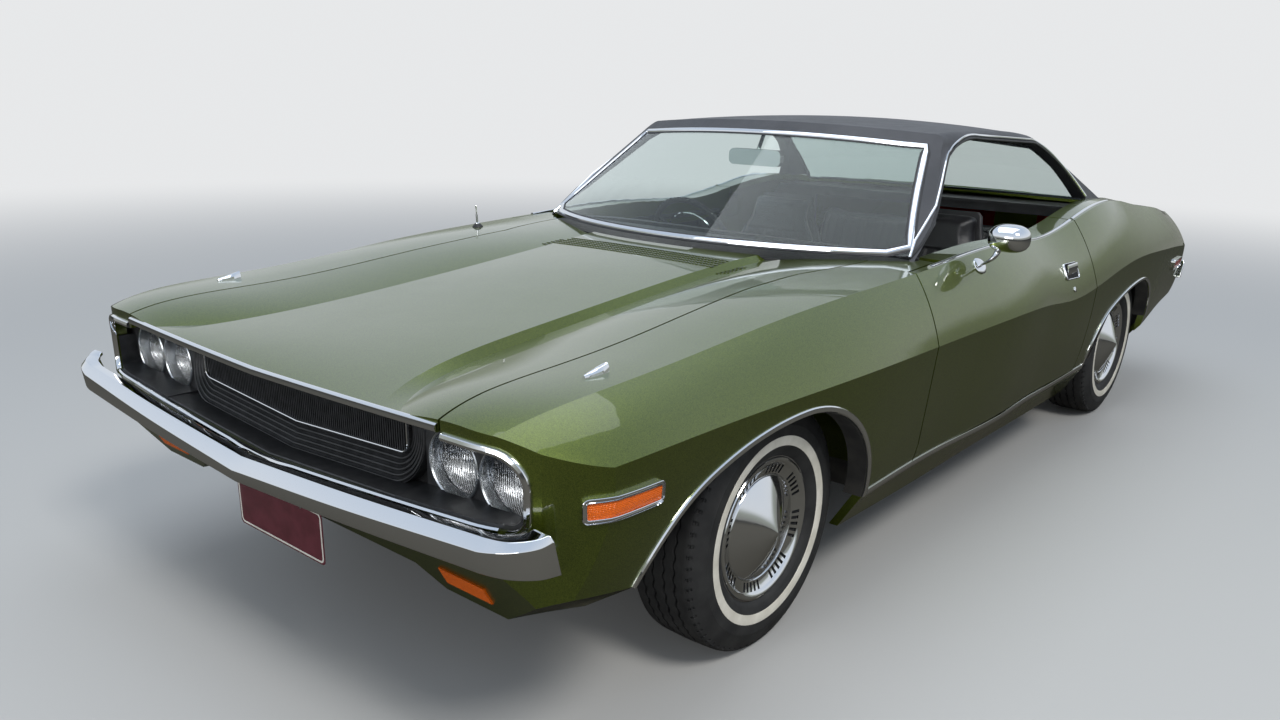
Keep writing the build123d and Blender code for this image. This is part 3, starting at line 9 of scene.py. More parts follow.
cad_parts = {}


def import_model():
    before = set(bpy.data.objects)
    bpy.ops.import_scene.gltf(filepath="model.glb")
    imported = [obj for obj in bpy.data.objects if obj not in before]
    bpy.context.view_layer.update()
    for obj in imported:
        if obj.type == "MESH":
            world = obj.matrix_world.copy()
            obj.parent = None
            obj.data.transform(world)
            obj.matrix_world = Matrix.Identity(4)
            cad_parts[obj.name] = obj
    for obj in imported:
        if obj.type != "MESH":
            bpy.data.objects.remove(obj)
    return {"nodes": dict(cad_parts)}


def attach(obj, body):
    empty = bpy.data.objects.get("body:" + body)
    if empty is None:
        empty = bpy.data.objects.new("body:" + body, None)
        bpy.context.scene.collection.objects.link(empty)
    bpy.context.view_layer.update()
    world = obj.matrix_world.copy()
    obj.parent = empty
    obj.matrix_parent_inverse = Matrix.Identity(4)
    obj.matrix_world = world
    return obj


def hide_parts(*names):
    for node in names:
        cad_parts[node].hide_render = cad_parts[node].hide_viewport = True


# Muscle car, a two-door hardtop, in metres: +X to the nose, +Y to the car's left, +Z up.

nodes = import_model()["nodes"]
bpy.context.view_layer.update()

# The photograph's camera: place, directions and lens, from the fitted view
PHOTO_WIDTH = 1280
FOCAL_PIXELS = 994.6
CENTRE_LINE_ABOVE_MIDDLE = 62.9
CAMERA_PLACE = Vector((3.454, 2.067, 1.371))
VIEW_WAY = Vector((-0.72799, -0.60791, -0.31698))
VIEW_RIGHT = Vector((-0.64646, 0.76263, 0.02210))
SENSOR = 36.0

# Names and signs of the car's two sides, and the directions that lines on the skin are looked up in
SIDES = (("left", 1), ("right", -1))
UP = Vector((0, 0, 1))
FORWARD = (1, 0, 0)
BACKWARD = (-1, 0, 0)
INWARD = (0, -1, 0)
OUTWARD = (0, 1, 0)
DOWNWARD = (0, 0, -1)

# Camera, floor and light

BACKDROP = (0.80, 0.81, 0.82)
FLOOR_GREY = (0.52, 0.52, 0.51)
# The floor's colour for glossy rays only: a painted reflection of dark ground in the car
MIRRORED_FLOOR = (0.105, 0.098, 0.082)
FLOOR_RADIUS = 60
COVE_START = 3.2
COVE_END = 13.0

# Colours of the sky by height over the horizon, from 0 at the horizon to 1 straight up
SKY = ((0.0, (0.30, 0.30, 0.29)), (0.02, (0.26, 0.27, 0.25)), (0.10, (0.34, 0.37, 0.33)),
       (0.16, (0.80, 0.84, 0.88)), (0.40, (0.72, 0.79, 0.88)), (0.75, (0.56, 0.66, 0.80)))
SKY_LIGHT = 0.62
LAMPS = (("sun_side", (3.5, 6.0, 7.5), (0, 0, 0.4), (2.4, 2.4), 420, (1, 0.97, 0.92)),
         ("sky_top", (0, -1.0, 8.0), (0, 0, 0), (9.0, 6.0), 230, (0.92, 0.96, 1)),
         ("low_front", (8.0, 1.0, 2.2), (1.5, 0, 0.5), (5.0, 1.6), 90, (1, 1, 1)))


def make_camera():
    data = bpy.data.cameras.new("camera")
    data.sensor_width = SENSOR
    data.lens = FOCAL_PIXELS / PHOTO_WIDTH * SENSOR
    data.shift_y = CENTRE_LINE_ABOVE_MIDDLE / PHOTO_WIDTH
    data.clip_end = 200
    camera = bpy.data.objects.new("camera", data)
    way = VIEW_WAY.normalized()
    right = (VIEW_RIGHT - way * VIEW_RIGHT.dot(way)).normalized()
    up = right.cross(way)
    turn = Matrix((right, up, -way)).transposed().to_4x4()
    camera.matrix_world = Matrix.Translation(CAMERA_PLACE) @ turn
    bpy.context.scene.collection.objects.link(camera)
    bpy.context.scene.camera = camera


def area_lamp(name, place, target, size, power, tint):
    data = bpy.data.lights.new(name, "AREA")
    data.shape = "RECTANGLE"
    data.size, data.size_y = size
    data.energy = power
    data.color = tint
    lamp = bpy.data.objects.new(name, data)
    aim = (Vector(target) - Vector(place)).to_track_quat("-Z", "Y")
    lamp.matrix_world = Matrix.Translation(place) @ aim.to_matrix().to_4x4()
    bpy.context.scene.collection.objects.link(lamp)


def add(tree, kind, **sockets):
    """A node of that kind with its plain socket values set."""
    made = tree.nodes.new(kind)
    for socket, value in sockets.items():
        made.inputs[socket.replace("_", " ")].default_value = value
    return made


def set_ramp(ramp, rows):
    """Gives a colour ramp its rows of (place, colour)."""
    for element, (position, colour) in zip(ramp.elements, (rows[0], rows[-1])):
        element.position = position
        element.color = (*colour, 1)
    for position, colour in rows[1:-1]:
        ramp.elements.new(position).color = (*colour, 1)


def seen_directly(tree):
    """The Light Path node, and a value that is one for rays from the camera, straight or through glass."""
    rays = tree.nodes.new("ShaderNodeLightPath")
    seen = tree.nodes.new("ShaderNodeMath")
    seen.operation = "MAXIMUM"
    tree.links.new(rays.outputs["Is Camera Ray"], seen.inputs[0])
    tree.links.new(rays.outputs["Is Transmission Ray"], seen.inputs[1])
    return rays, seen.outputs[0]


def blend(tree, share, first, second):
    """Mixes two shaders by a share of the second."""
    mix = tree.nodes.new("ShaderNodeMixShader")
    for source, target in zip((share, first.outputs[0], second.outputs[0]), mix.inputs):
        tree.links.new(source, target)
    return mix


def make_world():
    """A sky that lights the car and is mirrored in it, behind a pale backdrop."""
    world = bpy.data.worlds.new("studio")
    world.use_nodes = True
    bpy.context.scene.world = world
    tree = world.node_tree
    tree.nodes.clear()
    link = tree.links.new
    place = tree.nodes.new("ShaderNodeTexCoord")
    height = tree.nodes.new("ShaderNodeSeparateXYZ")
    sky = tree.nodes.new("ShaderNodeValToRGB")
    set_ramp(sky.color_ramp, SKY)
    light = add(tree, "ShaderNodeBackground", Strength=SKY_LIGHT)
    mirrored = add(tree, "ShaderNodeBackground", Strength=1.0)
    pale = add(tree, "ShaderNodeBackground", Color=(*BACKDROP, 1), Strength=1.0)
    rays, seen = seen_directly(tree)
    link(place.outputs["Generated"], height.inputs[0])
    link(height.outputs["Z"], sky.inputs[0])
    link(sky.outputs[0], light.inputs["Color"])
    link(sky.outputs[0], mirrored.inputs["Color"])
    glossy = blend(tree, rays.outputs["Is Glossy Ray"], light, mirrored)
    out = tree.nodes.new("ShaderNodeOutputWorld")
    link(blend(tree, seen, glossy, pale).outputs[0], out.inputs[0])


def pale_floor():
    """A grey floor that runs out into the pale backdrop, as a studio cove does. Glossy rays see it
    as dark ground, a painted reflection in the car's lower sides."""
    paint = bpy.data.materials.new("pale_floor")
    paint.use_nodes = True
    tree = paint.node_tree
    link = tree.links.new
    grey = tree.nodes["Principled BSDF"]
    grey.inputs["Base Color"].default_value = (*FLOOR_GREY, 1)
    grey.inputs["Roughness"].default_value = 0.75
    dark = add(tree, "ShaderNodeBsdfDiffuse", Color=(*MIRRORED_FLOOR, 1))
    cove = add(tree, "ShaderNodeEmission", Color=(*BACKDROP, 1), Strength=1.0)
    place = tree.nodes.new("ShaderNodeTexCoord")
    reach = tree.nodes.new("ShaderNodeVectorMath")
    reach.operation = "LENGTH"
    far = add(tree, "ShaderNodeMapRange", From_Min=COVE_START, From_Max=COVE_END)
    far.interpolation_type = "SMOOTHSTEP"
    share = tree.nodes.new("ShaderNodeMath")
    share.operation = "MULTIPLY"
    rays, seen = seen_directly(tree)
    link(place.outputs["Object"], reach.inputs[0])
    link(reach.outputs["Value"], far.inputs["Value"])
    link(far.outputs[0], share.inputs[0])
    link(seen, share.inputs[1])
    # Painted reflection: glossy rays see a dark floor in place of the grey one
    floor = blend(tree, rays.outputs["Is Glossy Ray"], grey, dark)
    surface = blend(tree, share.outputs[0], floor, cove)
    link(surface.outputs[0], tree.nodes["Material Output"].inputs["Surface"])
    return paint


def make_stage():
    bm = bmesh.new()
    bmesh.ops.create_circle(bm, cap_ends=True, radius=FLOOR_RADIUS, segments=64)
    mesh = bpy.data.meshes.new("floor")
    bm.to_mesh(mesh)
    bm.free()
    mesh.materials.append(pale_floor())
    floor = bpy.data.objects.new("floor", mesh)
    bpy.context.scene.collection.objects.link(floor)
    make_world()
    for lamp in LAMPS:
        area_lamp(*lamp)


# Shaping steps that the pieces share


def start_ring(bm, places):
    """The first ring of a drawn shape: vertices joined in order."""
    verts = [bm.verts.new(place) for place in places]
    edges = [bm.edges.new(pair) for pair in zip(verts, verts[1:] + verts[:1])]
    return verts, edges


def draw_on(bm, verts, edges, places):
    """Extrudes a ring to its next places and gives the new ring."""
    made = bmesh.ops.extrude_edge_only(bm, edges=edges)["geom"]
    fresh = {item for item in made if isinstance(item, bmesh.types.BMVert)}
    moved = []
    for vert, place in zip(verts, places):
        new = next(edge.other_vert(vert) for edge in vert.link_edges if edge.other_vert(vert) in fresh)
        new.co = place
        moved.append(new)
    ring = [item for item in made if isinstance(item, bmesh.types.BMEdge)
            and item.verts[0] in fresh and item.verts[1] in fresh]
    return moved, ring


def sweep(bm, rings, closed=False):
    """Draws one ring through all its places and closes the ends."""
    verts, edges = start_ring(bm, rings[0])
    first = edges
    for places in rings[1:]:
        verts, edges = draw_on(bm, verts, edges, places)
    if closed:
        draw_on(bm, verts, edges, rings[0])
        bmesh.ops.remove_doubles(bm, verts=bm.verts, dist=1e-6)
    else:
        bmesh.ops.contextual_create(bm, geom=first)
        bmesh.ops.contextual_create(bm, geom=edges)


def spin_profile(bm, profile, centre, way, steps):
    """Turns a side profile of (radius, place along the way) once round."""
    centre, way = Vector(centre), Vector(way).normalized()
    across = way.orthogonal().normalized()
    verts = [bm.verts.new(centre + across * radius + way * along) for radius, along in profile]
    edges = [bm.edges.new(pair) for pair in zip(verts, verts[1:])]
    bmesh.ops.spin(bm, geom=verts + edges, cent=centre, axis=way, dvec=(0, 0, 0),
                   angle=math.tau, steps=steps, use_merge=True, use_duplicate=False)
    bmesh.ops.remove_doubles(bm, verts=bm.verts, dist=1e-6)


def box_between(bm, low, high, bevel=0.0, segments=2):
    """A block with its edges rounded."""
    low, high = Vector(low), Vector(high)
    made = bmesh.ops.create_cube(bm, size=1.0)["verts"]
    bmesh.ops.scale(bm, vec=high - low, verts=made)
    bmesh.ops.translate(bm, vec=(low + high) / 2, verts=made)
    if bevel:
        edges = list({edge for vert in made for edge in vert.link_edges})
        bmesh.ops.bevel(bm, geom=edges, offset=bevel, offset_type="OFFSET", segments=segments,
                        profile=0.5, affect="EDGES", material=-1)
    return made


def rod_between(bm, start, end, radius, segments=12):
    """A round rod with closed ends."""
    start, end = Vector(start), Vector(end)
    way = end - start
    turn = way.to_track_quat("Z", "Y").to_matrix().to_4x4()
    bmesh.ops.create_cone(bm, cap_ends=True, segments=segments, radius1=radius, radius2=radius,
                          depth=way.length, matrix=Matrix.Translation((start + end) / 2) @ turn)


def keep(bm, name, finish, body="root", sharp=35):
    """Turns a finished bmesh into a piece that rides on its body."""
    bmesh.ops.recalc_face_normals(bm, faces=bm.faces)
    mesh = bpy.data.meshes.new(name)
    bm.to_mesh(mesh)
    bm.free()
    mesh.materials.append(finish)
    mesh.shade_smooth()
    mesh.set_sharp_from_angle(angle=math.radians(sharp))
    piece = bpy.data.objects.new(name, mesh)
    bpy.context.scene.collection.objects.link(piece)
    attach(piece, body)
    return piece


def arc_leaving(start, way, end, count):
    """Points of the arc that leaves start along way and reaches end, with its way there.
    Places in a side view are complex numbers, x and z."""
    chord = end - start
    half = cmath.phase(chord / way)
    centre = start + way * 1j * abs(chord) / (2 * math.sin(half))
    points = [centre + (start - centre) * cmath.exp(2j * half * step / count)
              for step in range(1, count + 1)]
    return points, way * cmath.exp(2j * half)


def arc_through(start, middle, end, count):
    """Points of the arc through three places, with its way at the end."""
    turn = cmath.phase((middle - end) / (start - end))
    way = (middle - start) * cmath.exp(-1j * turn)
    return arc_leaving(start, way / abs(way), end, count)


def smooth_line(points, steps):
    """A smooth line through the points given, with more places between them."""
    points = [Vector(point) for point in points]
    padded = [points[0] * 2 - points[1]] + points + [points[-1] * 2 - points[-2]]
    line = [points[0]]
    for a, b, c, d in zip(padded, padded[1:], padded[2:], padded[3:]):
        for step in range(1, steps + 1):
            t = step / steps
            line.append((b * 2 + (c - a) * t + (a * 2 - b * 5 + c * 4 - d) * t * t
                         + (b * 3 - a - c * 3 + d) * t * t * t) / 2)
    return line


def spread(start, end, count):
    """Even places from start to end."""
    return [start + (end - start) * step / count for step in range(count + 1)]


def ways_along(points):
    """Each point of a side view's line with the way at right angles to the line there."""
    line = []
    for index, point in enumerate(points):
        ahead = points[min(len(points) - 1, index + 1)] - points[max(0, index - 1)]
        line.append((point, 1j * ahead / abs(ahead)))
    return line


def outline(corners, radius, turns=5):
    """A closed line round the corners, each one rounded. Places are complex numbers."""
    points = []
    for before, corner, after in zip(corners[-1:] + corners[:-1], corners, corners[1:] + corners[:1]):
        come = (corner - before) / abs(corner - before)
        go = (after - corner) / abs(after - corner)
        start = corner - come * radius
        points.append(start)
        points += arc_leaving(start, come, corner + go * radius, turns)[0]
    return points


def block_corners(left, low, right, high):
    """The four corners of an upright block in a side or end view."""
    return [complex(left, low), complex(right, low), complex(right, high), complex(left, high)]


def dense(points, pitch):
    """The same closed line with more places along its long runs."""
    filled = []
    for point, after in zip(points, points[1:] + points[:1]):
        count = max(1, round(abs(after - point) / pitch))
        filled += [point + (after - point) * step / count for step in range(count)]
    return filled


class Skin:
    """The outside of some CAD nodes, to lay trim on."""

    def __init__(self, *names):
        verts = []
        faces = []
        for name in names:
            base = len(verts)
            verts += [vert.co.copy() for vert in nodes[name].data.vertices]
            faces += [[base + index for index in face.vertices] for face in nodes[name].data.polygons]
        self.tree = BVHTree.FromPolygons(verts, faces)

    def under(self, point, way):
        """The place on the skin that a line from outside meets, and how the skin faces there."""
        way = Vector(way)
        place, facing, _, _ = self.tree.ray_cast(Vector(point) - way, way)
        if place is None:
            place, facing, _, _ = self.tree.find_nearest(Vector(point))
        return place, (-facing if facing.dot(way) > 0 else facing)

    def trace(self, line, way, calm=2):
        """Lays a line on the skin, with the facings evened out along it."""
        marks = [self.under(point, way) for point in line]
        calmed = []
        for index, (place, _) in enumerate(marks):
            near = [facing for _, facing in marks[max(0, index - calm):index + calm + 1]]
            calmed.append((place, sum(near, Vector()).normalized()))
        return calmed


HALF_ROUND = ((-0.5, -0.3), (-0.5, 0.3), (-0.34, 0.8), (0, 1), (0.34, 0.8), (0.5, 0.3), (0.5, -0.3))
CHANNEL = ((-0.5, -0.2), (-0.5, 0.9), (-0.4, 1), (-0.3, 0.6), (0.3, 0.6), (0.4, 1), (0.5, 0.9),
           (0.5, -0.2))


def along_line(bm, marks, width, height, section=HALF_ROUND, closed=False):
    """Draws a section of trim along marks of (place, facing)."""
    rings = []
    last = len(marks) - 1
    for index, (place, facing) in enumerate(marks):
        before = marks[index - 1 if index or closed else 0][0]
        after = marks[(index + 1) % len(marks) if index < last or closed else last][0]
        ahead = (after - before).normalized()
        across = ahead.cross(facing).normalized()
        out = across.cross(ahead)
        rings.append([place + across * (width * u) + out * (height * v) for u, v in section])
    sweep(bm, rings, closed)


def moulding(name, marks, width, height, finish, body="root", section=HALF_ROUND,
             closed=False):
    """A strip of trim as a piece of its own."""
    bm = bmesh.new()
    along_line(bm, marks, width, height, section, closed)
    return keep(bm, name, finish, body)


def mirrored(marks, side):
    """The same marks on the car's left, or turned over to its right."""
    return [(Vector((place.x, side * place.y, place.z)), Vector((facing.x, side * facing.y, facing.z)))
            for place, facing in marks]


def pad_between(bm, marks, depth, steps):
    """A pad on the skin: its outline is drawn out and in again by steps of (out, in)."""
    middle = sum((place for place, _ in marks), Vector()) / len(marks)
    facing = sum((way for _, way in marks), Vector()).normalized()
    rings = [[place - facing * depth for place, _ in marks]]
    for out, inset in steps:
        rings.append([place + facing * out + (middle - place).normalized() * inset for place, _ in marks])
    sweep(bm, rings)


def facing_all(points, x, way):
    """Marks at one place along the car, all facing one way."""
    return [(Vector((x, point.real, point.imag)), Vector(way)) for point in points]


def skin_panel(bm, skin, way, corners, section, shares, side, start_y):
    """A panel that follows the skin between four corners: low and low, high and high. Its section
    is of (share of the height, place out from the skin)."""
    rings = []
    start_low, end_low, end_high, start_high = corners
    for share in shares:
        low = start_low + (end_low - start_low) * share
        high = start_high + (end_high - start_high) * share
        ring = []
        for rise, out in section:
            point = low + (high - low) * rise
            place, facing = skin.under((point.real, start_y, point.imag), way)
            place = place + facing * out
            ring.append(Vector((place.x, side * place.y, place.z)))
        rings.append(ring)
    sweep(bm, rings)


# Materials: each has its own function, and reads Object coordinates in metres

NOISE_DETAIL = 3.0
TINT_FROM = 0.35
TINT_TO = 0.65


class Finish:
    """One material and the few steps that its node tree is built with. The colour is its mean."""

    def __init__(self, name, colour, metallic=0.0, roughness=0.5, coat=0.0, coat_roughness=0.03):
        self.material = bpy.data.materials.new(name)
        self.material.use_nodes = True
        self.tree = self.material.node_tree
        self.shader = self.tree.nodes["Principled BSDF"]
        self.coordinates = self.tree.nodes.new("ShaderNodeTexCoord")
        self.set("Base Color", (*colour, 1))
        self.set("Metallic", metallic)
        self.set("Roughness", roughness)
        self.set("Coat Weight", coat)
        self.set("Coat Roughness", coat_roughness)

    def set(self, socket, value):
        self.shader.inputs[socket].default_value = value

    def link(self, source, target):
        self.tree.links.new(source, target)

    def texture(self, kind, scale):
        made = add(self.tree, kind, Scale=scale)
        self.link(self.coordinates.outputs["Object"], made.inputs["Vector"])
        return made

    def noise(self, scale):
        made = self.texture("ShaderNodeTexNoise", scale)
        made.inputs["Detail"].default_value = NOISE_DETAIL
        return made.outputs[0]

    def tint(self, source, dark, light):
        """Colours the base between two shades by a texture."""
        made = self.tree.nodes.new("ShaderNodeValToRGB")
        set_ramp(made.color_ramp, ((TINT_FROM, dark), (TINT_TO, light)))
        self.link(source, made.inputs[0])
        self.link(made.outputs[0], self.shader.inputs["Base Color"])

    def mottle(self, scale, dark, light):
        """Varies the base colour in soft clouds."""
        self.tint(self.noise(scale), dark, light)

    def wear(self, scale, low, high):
        """Varies the roughness in soft clouds."""
        made = add(self.tree, "ShaderNodeMapRange", To_Min=low, To_Max=high)
        self.link(self.noise(scale), made.inputs["Value"])
        self.link(made.outputs[0], self.shader.inputs["Roughness"])

    def bump(self, source, depth):
        """Adds a height texture, as deep as the number of metres given."""
        made = add(self.tree, "ShaderNodeBump", Strength=1.0, Distance=depth)
        before = self.shader.inputs["Normal"]
        if before.is_linked:
            self.link(before.links[0].from_socket, made.inputs["Normal"])
        self.link(source, made.inputs["Height"])
        self.link(made.outputs[0], self.shader.inputs["Normal"])

    def dents(self, scale, depth):
        self.bump(self.noise(scale), depth)

    def grain(self, scale, depth):
        """The small round cells of leather and vinyl."""
        made = self.texture("ShaderNodeTexVoronoi", scale)
        made.feature = "SMOOTH_F1"
        self.bump(made.outputs["Distance"], depth)

    def flutes(self, along, scale, depth):
        """Even ribs across a lens."""
        made = self.texture("ShaderNodeTexWave", scale)
        made.bands_direction = along
        self.bump(made.outputs[1], depth)


def body_paint():
    """Metallic green under clear lacquer, with its flakes."""
    finish = Finish("body_paint", (0.10, 0.13, 0.014), 0.85, 0.36, 1.0, 0.02)
    finish.set("Coat IOR", 1.5)
    flakes = finish.texture("ShaderNodeTexVoronoi", 1100)
    finish.tint(flakes.outputs["Color"], (0.070, 0.096, 0.009), (0.130, 0.166, 0.019))
    finish.wear(7, 0.33, 0.40)
    return finish.material


def roof_vinyl():
    finish = Finish("roof_vinyl", (0.035, 0.036, 0.042), 0.0, 0.5)
    finish.mottle(5, (0.028, 0.029, 0.034), (0.046, 0.047, 0.054))
    finish.wear(30, 0.42, 0.58)
    finish.grain(420, 0.0006)
    return finish.material


def bright_metal(name, colour, roughness, scale, low, high):
    """Plated or polished metal, which differs only in its shade and its fine wear."""
    finish = Finish(name, colour, 1.0, roughness)
    finish.wear(scale, low, high)
    return finish.material


def grille_grey():
    finish = Finish("grille_grey", (0.045, 0.046, 0.048), 0.35, 0.42)
    finish.mottle(40, (0.036, 0.037, 0.039), (0.056, 0.057, 0.060))
    return finish.material


def tyre_rubber():
    finish = Finish("tyre_rubber", (0.016, 0.016, 0.017), 0.0, 0.68)
    finish.mottle(14, (0.012, 0.012, 0.013), (0.024, 0.024, 0.024))
    finish.wear(45, 0.58, 0.8)
    finish.dents(350, 0.0003)
    return finish.material


def white_rubber():
    finish = Finish("white_rubber", (0.72, 0.69, 0.60), 0.0, 0.55)
    finish.mottle(18, (0.60, 0.57, 0.49), (0.74, 0.71, 0.63))
    return finish.material


def trim_vinyl():
    finish = Finish("trim_vinyl", (0.018, 0.018, 0.020), 0.0, 0.46)
    finish.mottle(9, (0.014, 0.014, 0.016), (0.024, 0.024, 0.027))
    finish.wear(50, 0.38, 0.55)
    finish.grain(650, 0.0004)
    return finish.material


def seat_leather():
    """Seat vinyl with a fine leather grain and small creases."""
    finish = Finish("seat_leather", (0.016, 0.016, 0.018), 0.0, 0.42)
    finish.mottle(6, (0.012, 0.012, 0.014), (0.022, 0.022, 0.025))
    finish.wear(40, 0.34, 0.50)
    finish.grain(480, 0.0005)
    finish.dents(90, 0.0006)
    return finish.material


def underbody():
    finish = Finish("underbody", (0.020, 0.020, 0.019), 0.0, 0.8)
    finish.mottle(12, (0.014, 0.014, 0.014), (0.040, 0.037, 0.033))
    finish.dents(160, 0.0008)
    return finish.material


def bare_metal():
    finish = Finish("bare_metal", (0.30, 0.29, 0.28), 0.9, 0.45)
    finish.mottle(18, (0.16, 0.14, 0.12), (0.36, 0.35, 0.34))
    finish.wear(30, 0.35, 0.6)
    return finish.material


def engine_orange():
    finish = Finish("engine_orange", (0.52, 0.10, 0.012), 0.0, 0.38, 0.4, 0.2)
    finish.mottle(16, (0.42, 0.075, 0.010), (0.60, 0.13, 0.016))
    finish.dents(220, 0.0003)
    return finish.material


def coloured_lens(name, colour):
    """A ribbed plastic lens."""
    finish = Finish(name, colour, 0.0, 0.25, 0.4, 0.05)
    finish.set("Specular IOR Level", 0.3)
    finish.flutes("Y", 110, 0.0008)
    finish.flutes("Z", 90, 0.0008)
    return finish.material


def lamp_glass():
    """Clear fluted glass."""
    finish = Finish("lamp_glass", (0.97, 0.98, 0.98), 0.0, 0.03)
    finish.set("Transmission Weight", 1.0)
    finish.set("IOR", 1.4)
    finish.flutes("Y", 48, 0.0014)
    finish.flutes("Z", 14, 0.0008)
    return finish.material


def window_glass():
    """Tinted glass that lets the lamps' light through."""
    finish = Finish("clear_glass", (0.66, 0.75, 0.73), 0.0, 0.0)
    finish.set("Transmission Weight", 1.0)
    finish.set("IOR", 1.36)
    rays = finish.tree.nodes.new("ShaderNodeLightPath")
    through = add(finish.tree, "ShaderNodeBsdfTransparent", Color=(0.66, 0.66, 0.66, 1))
    glass = blend(finish.tree, rays.outputs["Is Shadow Ray"], finish.shader, through)
    finish.link(glass.outputs[0], finish.tree.nodes["Material Output"].inputs["Surface"])
    return finish.material


def shadow_black():
    """Painted shade: the dark depth of slots, cups and openings, also used as the dial faces' own black."""
    finish = Finish("shadow_black", (0.006, 0.006, 0.007), 0.0, 0.85)
    finish.mottle(30, (0.005, 0.005, 0.006), (0.010, 0.010, 0.011))
    return finish.material


def rubber_seal():
    finish = Finish("rubber_seal", (0.012, 0.012, 0.013), 0.0, 0.5)
    finish.mottle(22, (0.010, 0.010, 0.011), (0.018, 0.018, 0.019))
    finish.wear(60, 0.42, 0.62)
    return finish.material


def plate_maroon():
    finish = Finish("plate_maroon", (0.105, 0.018, 0.028), 0.0, 0.42)
    finish.mottle(26, (0.085, 0.014, 0.022), (0.120, 0.022, 0.034))
    return finish.material


def plate_cream():
    finish = Finish("plate_cream", (0.66, 0.64, 0.58), 0.0, 0.45)
    finish.mottle(26, (0.58, 0.56, 0.50), (0.70, 0.68, 0.62))
    return finish.material


make_camera()
make_stage()

PAINT = body_paint()
ROOF = roof_vinyl()
CHROME = bright_metal("chrome", (0.80, 0.81, 0.83), 0.06, 25, 0.035, 0.10)
POLISHED = bright_metal("polished_cover", (0.74, 0.75, 0.77), 0.09, 50, 0.05, 0.14)
MIRROR = bright_metal("lamp_mirror", (0.86, 0.87, 0.89), 0.10, 40, 0.07, 0.16)
RING = bright_metal("satin_ring", (0.62, 0.64, 0.66), 0.24, 55, 0.18, 0.30)
GRILLE = grille_grey()
RUBBER = tyre_rubber()
WHITE_RUBBER = white_rubber()
VINYL = trim_vinyl()
LEATHER = seat_leather()
UNDERBODY = underbody()
METAL = bare_metal()
ENGINE_ORANGE = engine_orange()
AMBER = coloured_lens("amber_lens", (0.78, 0.135, 0.006))
RED = coloured_lens("red_lens", (0.34, 0.012, 0.012))
GLASS = window_glass()
LAMP_GLASS = lamp_glass()
SHADOW = shadow_black()
SEAL = rubber_seal()
MAROON = plate_maroon()
CREAM = plate_cream()

CORNERS = ("front_left", "front_right", "rear_left", "rear_right")
# Every other node is dark underbody
NODE_FINISHES = (
    (PAINT, ("hood", "trunk_lid", "left_front_fender", "right_front_fender", "front_valance",
             "left_quarter_panel", "right_quarter_panel", "tail_panel", "rocker_panels", "left_door",
             "right_door", "cowl")),
    (ROOF, ("roof",)),
    (GLASS, ("windscreen", "rear_window")),
    (LAMP_GLASS, ("headlamps",)),
    (AMBER, ("marker_lamps", "turn_lamps")),
    (RED, ("tail_lamps",)),
    (GRILLE, ("lamp_bezels", "grille")),
    (CHROME, ("front_bumper", "rear_bumper", "door_mirror", "inside_mirror")),
    (VINYL, ("dashboard", "console", "steering_column", "steering_wheel", "front_seats", "rear_seat",
             "rear_shelf")),
    (METAL, ("engine", "driveline", "fuel_tank", "exhaust", "left_knuckle", "right_knuckle",
             *(f"{corner}_wheel" for corner in CORNERS))),
    (RUBBER, tuple(f"{corner}_tyre" for corner in CORNERS)),
)


def finish_nodes():
    """Gives every carried-over node its finish."""
    for name, piece in nodes.items():
        finish = next((made for made, names in NODE_FINISHES if name in names), UNDERBODY)
        if not piece.material_slots:
            piece.data.materials.append(finish)
        for slot in piece.material_slots:
            slot.material = finish


# Wheels and tyres. Each profile is of (radius, place across), and a tyre's is its outer half

FRONT_AXLE_X = 1.4825
REAR_AXLE_X = -1.3115
FRONT_TRACK_HALF = 0.758
REAR_TRACK_HALF = 0.771
TYRE_RADIUS = 0.328
AXLE_WAY = (0, 1, 0)
TYRE_HALF = (
    (0.1922, 0.0825), (0.1975, 0.0890), (0.2060, 0.0930), (0.2180, 0.0972), (0.2215, 0.0985),
    (0.2475, 0.1012), (0.2560, 0.1020), (0.2740, 0.1006), (0.2760, 0.0992), (0.2900, 0.0968),
    (0.3030, 0.0905), (0.3110, 0.0872), (0.3190, 0.0838), (0.3238, 0.0775), (0.3256, 0.0690),
    (0.3264, 0.0495), (0.3190, 0.0482), (0.3190, 0.0442), (0.3268, 0.0428),
    (0.3274, 0.0190), (0.3200, 0.0178), (0.3200, 0.0140), (0.3278, 0.0126),
)
WHITE_BAND = ((0.2205, 0.0970), (0.2222, 0.0996), (0.2240, 0.1001), (0.2350, 0.1012),
              (0.2455, 0.1020), (0.2470, 0.1018), (0.2478, 0.1002))
TYRE_STEPS = 216
RIBBED_HALF = 0.052
ZIGZAG = 0.0022
SHOULDER_FROM = 0.0775
SHOULDER_LOW = 0.311
SHOULDER_HIGH = 0.325
SHOULDER_CUT = 0.0045


def on_side(profile, side, base=0.0):
    """A wheel's profile turned to its side of the car."""
    return [(radius, side * (base + place)) for radius, place in profile]


def turn_at(point, steps):
    """How far round the axle a place lies, in steps of the whole turn, and its radius."""
    return math.atan2(point.z, point.x) / math.tau * steps, math.hypot(point.x, point.z)


